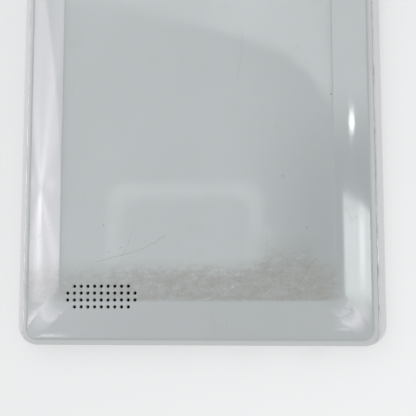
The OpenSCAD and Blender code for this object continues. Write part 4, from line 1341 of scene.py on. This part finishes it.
def make_key_light():
    """A large soft lamp from the upper left, kept out of the mirror."""
    key = bpy.data.lights.new("key_light", "AREA")
    key.shape = "RECTANGLE"
    key.size = 1.2
    key.size_y = 0.9
    key.energy = 2.5
    lamp = bpy.data.objects.new("key_light", key)
    lamp.location = (-0.9, 0.5, 1.1)
    aim = Vector((0, 0, 0)) - lamp.location
    lamp.rotation_euler = aim.to_track_quat("-Z", "Y").to_euler()
    lamp.visible_glossy = False
    bpy.context.scene.collection.objects.link(lamp)


def make_studio(context):
    """Floor, sky, light panels, key light and camera."""
    make_floor(tuple(context.scene.reader_finishes.floor))
    make_sky()
    make_panels(case_sizes(context))
    make_key_light()
    make_camera()
    bpy.context.scene.view_settings.view_transform = "Standard"


# ---- operators ----


class READER_OT_cover(bpy.types.Operator):
    """Build the rear cover with its speaker grille"""
    bl_idname = "reader.cover"
    bl_label = "Rear cover"

    def execute(self, context):
        finish_piece(make_cover(context), "rear_cover", finish_of(context, "case_white"))
        return {"FINISHED"}


class READER_OT_housing(bpy.types.Operator):
    """Build the front housing with its window, openings and posts"""
    bl_idname = "reader.housing"
    bl_label = "Front housing"

    def execute(self, context):
        finish_piece(make_housing(context), "front_housing",
                     finish_of(context, "case_white"))
        return {"FINISHED"}


class READER_OT_keys(bpy.types.Operator):
    """Build the page keys, the home and back keys, the ring and the select key"""
    bl_idname = "reader.keys"
    bl_label = "Keys"

    def execute(self, context):
        keys = millimetres(context.scene.reader_keys)
        paint = finish_of(context, "key_white")
        for node in ("left_next_key", "left_previous_key", "right_next_key",
                     "right_previous_key", "home_key", "back_key"):
            finish_piece(make_push_key(node, keys), node, paint)
        finish_piece(make_ring(), "navigation_ring", paint)
        finish_piece(make_select_key(keys), "select_key", paint)
        return {"FINISHED"}


class READER_OT_edge_keys(bpy.types.Operator):
    """Build the volume rocker and the power slider"""
    bl_idname = "reader.edge_keys"
    bl_label = "Rocker and slider"

    def execute(self, context):
        paint = finish_of(context, "key_white")
        finish_piece(make_rocker(), "volume_rocker", paint)
        finish_piece(make_slider(case_sizes(context)), "power_slider", paint)
        return {"FINISHED"}


class READER_OT_insides(bpy.types.Operator):
    """Give the screen, boards, battery, speaker and sockets their finishes"""
    bl_idname = "reader.insides"
    bl_label = "Inside pieces"

    def execute(self, context):
        for part in frame["record"]["subparts"]:
            node = frame["nodes"][part["node"]]
            node.data.materials.clear()
            node.data.materials.append(finish_of(context, part["material_slot"]))
            for face in node.data.polygons:
                face.material_index = 0
        return {"FINISHED"}


class READER_OT_studio(bpy.types.Operator):
    """Set up the floor, the lights and the camera"""
    bl_idname = "reader.studio"
    bl_label = "Studio"

    def execute(self, context):
        make_studio(context)
        return {"FINISHED"}


class READER_PT_build(bpy.types.Panel):
    """Lists the sizes, the colours and the steps of the build"""
    bl_idname = "READER_PT_build"
    bl_label = "E-reader"
    bl_space_type = "VIEW_3D"
    bl_region_type = "UI"
    bl_category = "E-reader"

    def draw(self, context):
        for attribute in GROUPS:
            group = getattr(context.scene, attribute)
            box = self.layout.box()
            for name in type(group).__annotations__:
                box.prop(group, name)
        for step in STEPS:
            self.layout.operator(step.bl_idname)


GROUPS = {"reader_case": CaseSizes, "reader_speaker": SpeakerSizes, "reader_keys": KeySizes,
          "reader_finishes": Finishes}
STEPS = (READER_OT_insides, READER_OT_housing, READER_OT_cover, READER_OT_keys,
         READER_OT_edge_keys, READER_OT_studio)


def register():
    for kind in (*GROUPS.values(), *STEPS, READER_PT_build):
        bpy.utils.register_class(kind)
    for attribute, group in GROUPS.items():
        setattr(bpy.types.Scene, attribute, bpy.props.PointerProperty(type=group))


def unregister():
    for attribute in GROUPS:
        delattr(bpy.types.Scene, attribute)
    for kind in reversed((*GROUPS.values(), *STEPS, READER_PT_build)):
        bpy.utils.unregister_class(kind)


def main():
    register()
    for step in STEPS:
        getattr(bpy.ops.reader, step.bl_idname.split(".")[1])()


if __name__ == "__main__":
    main()
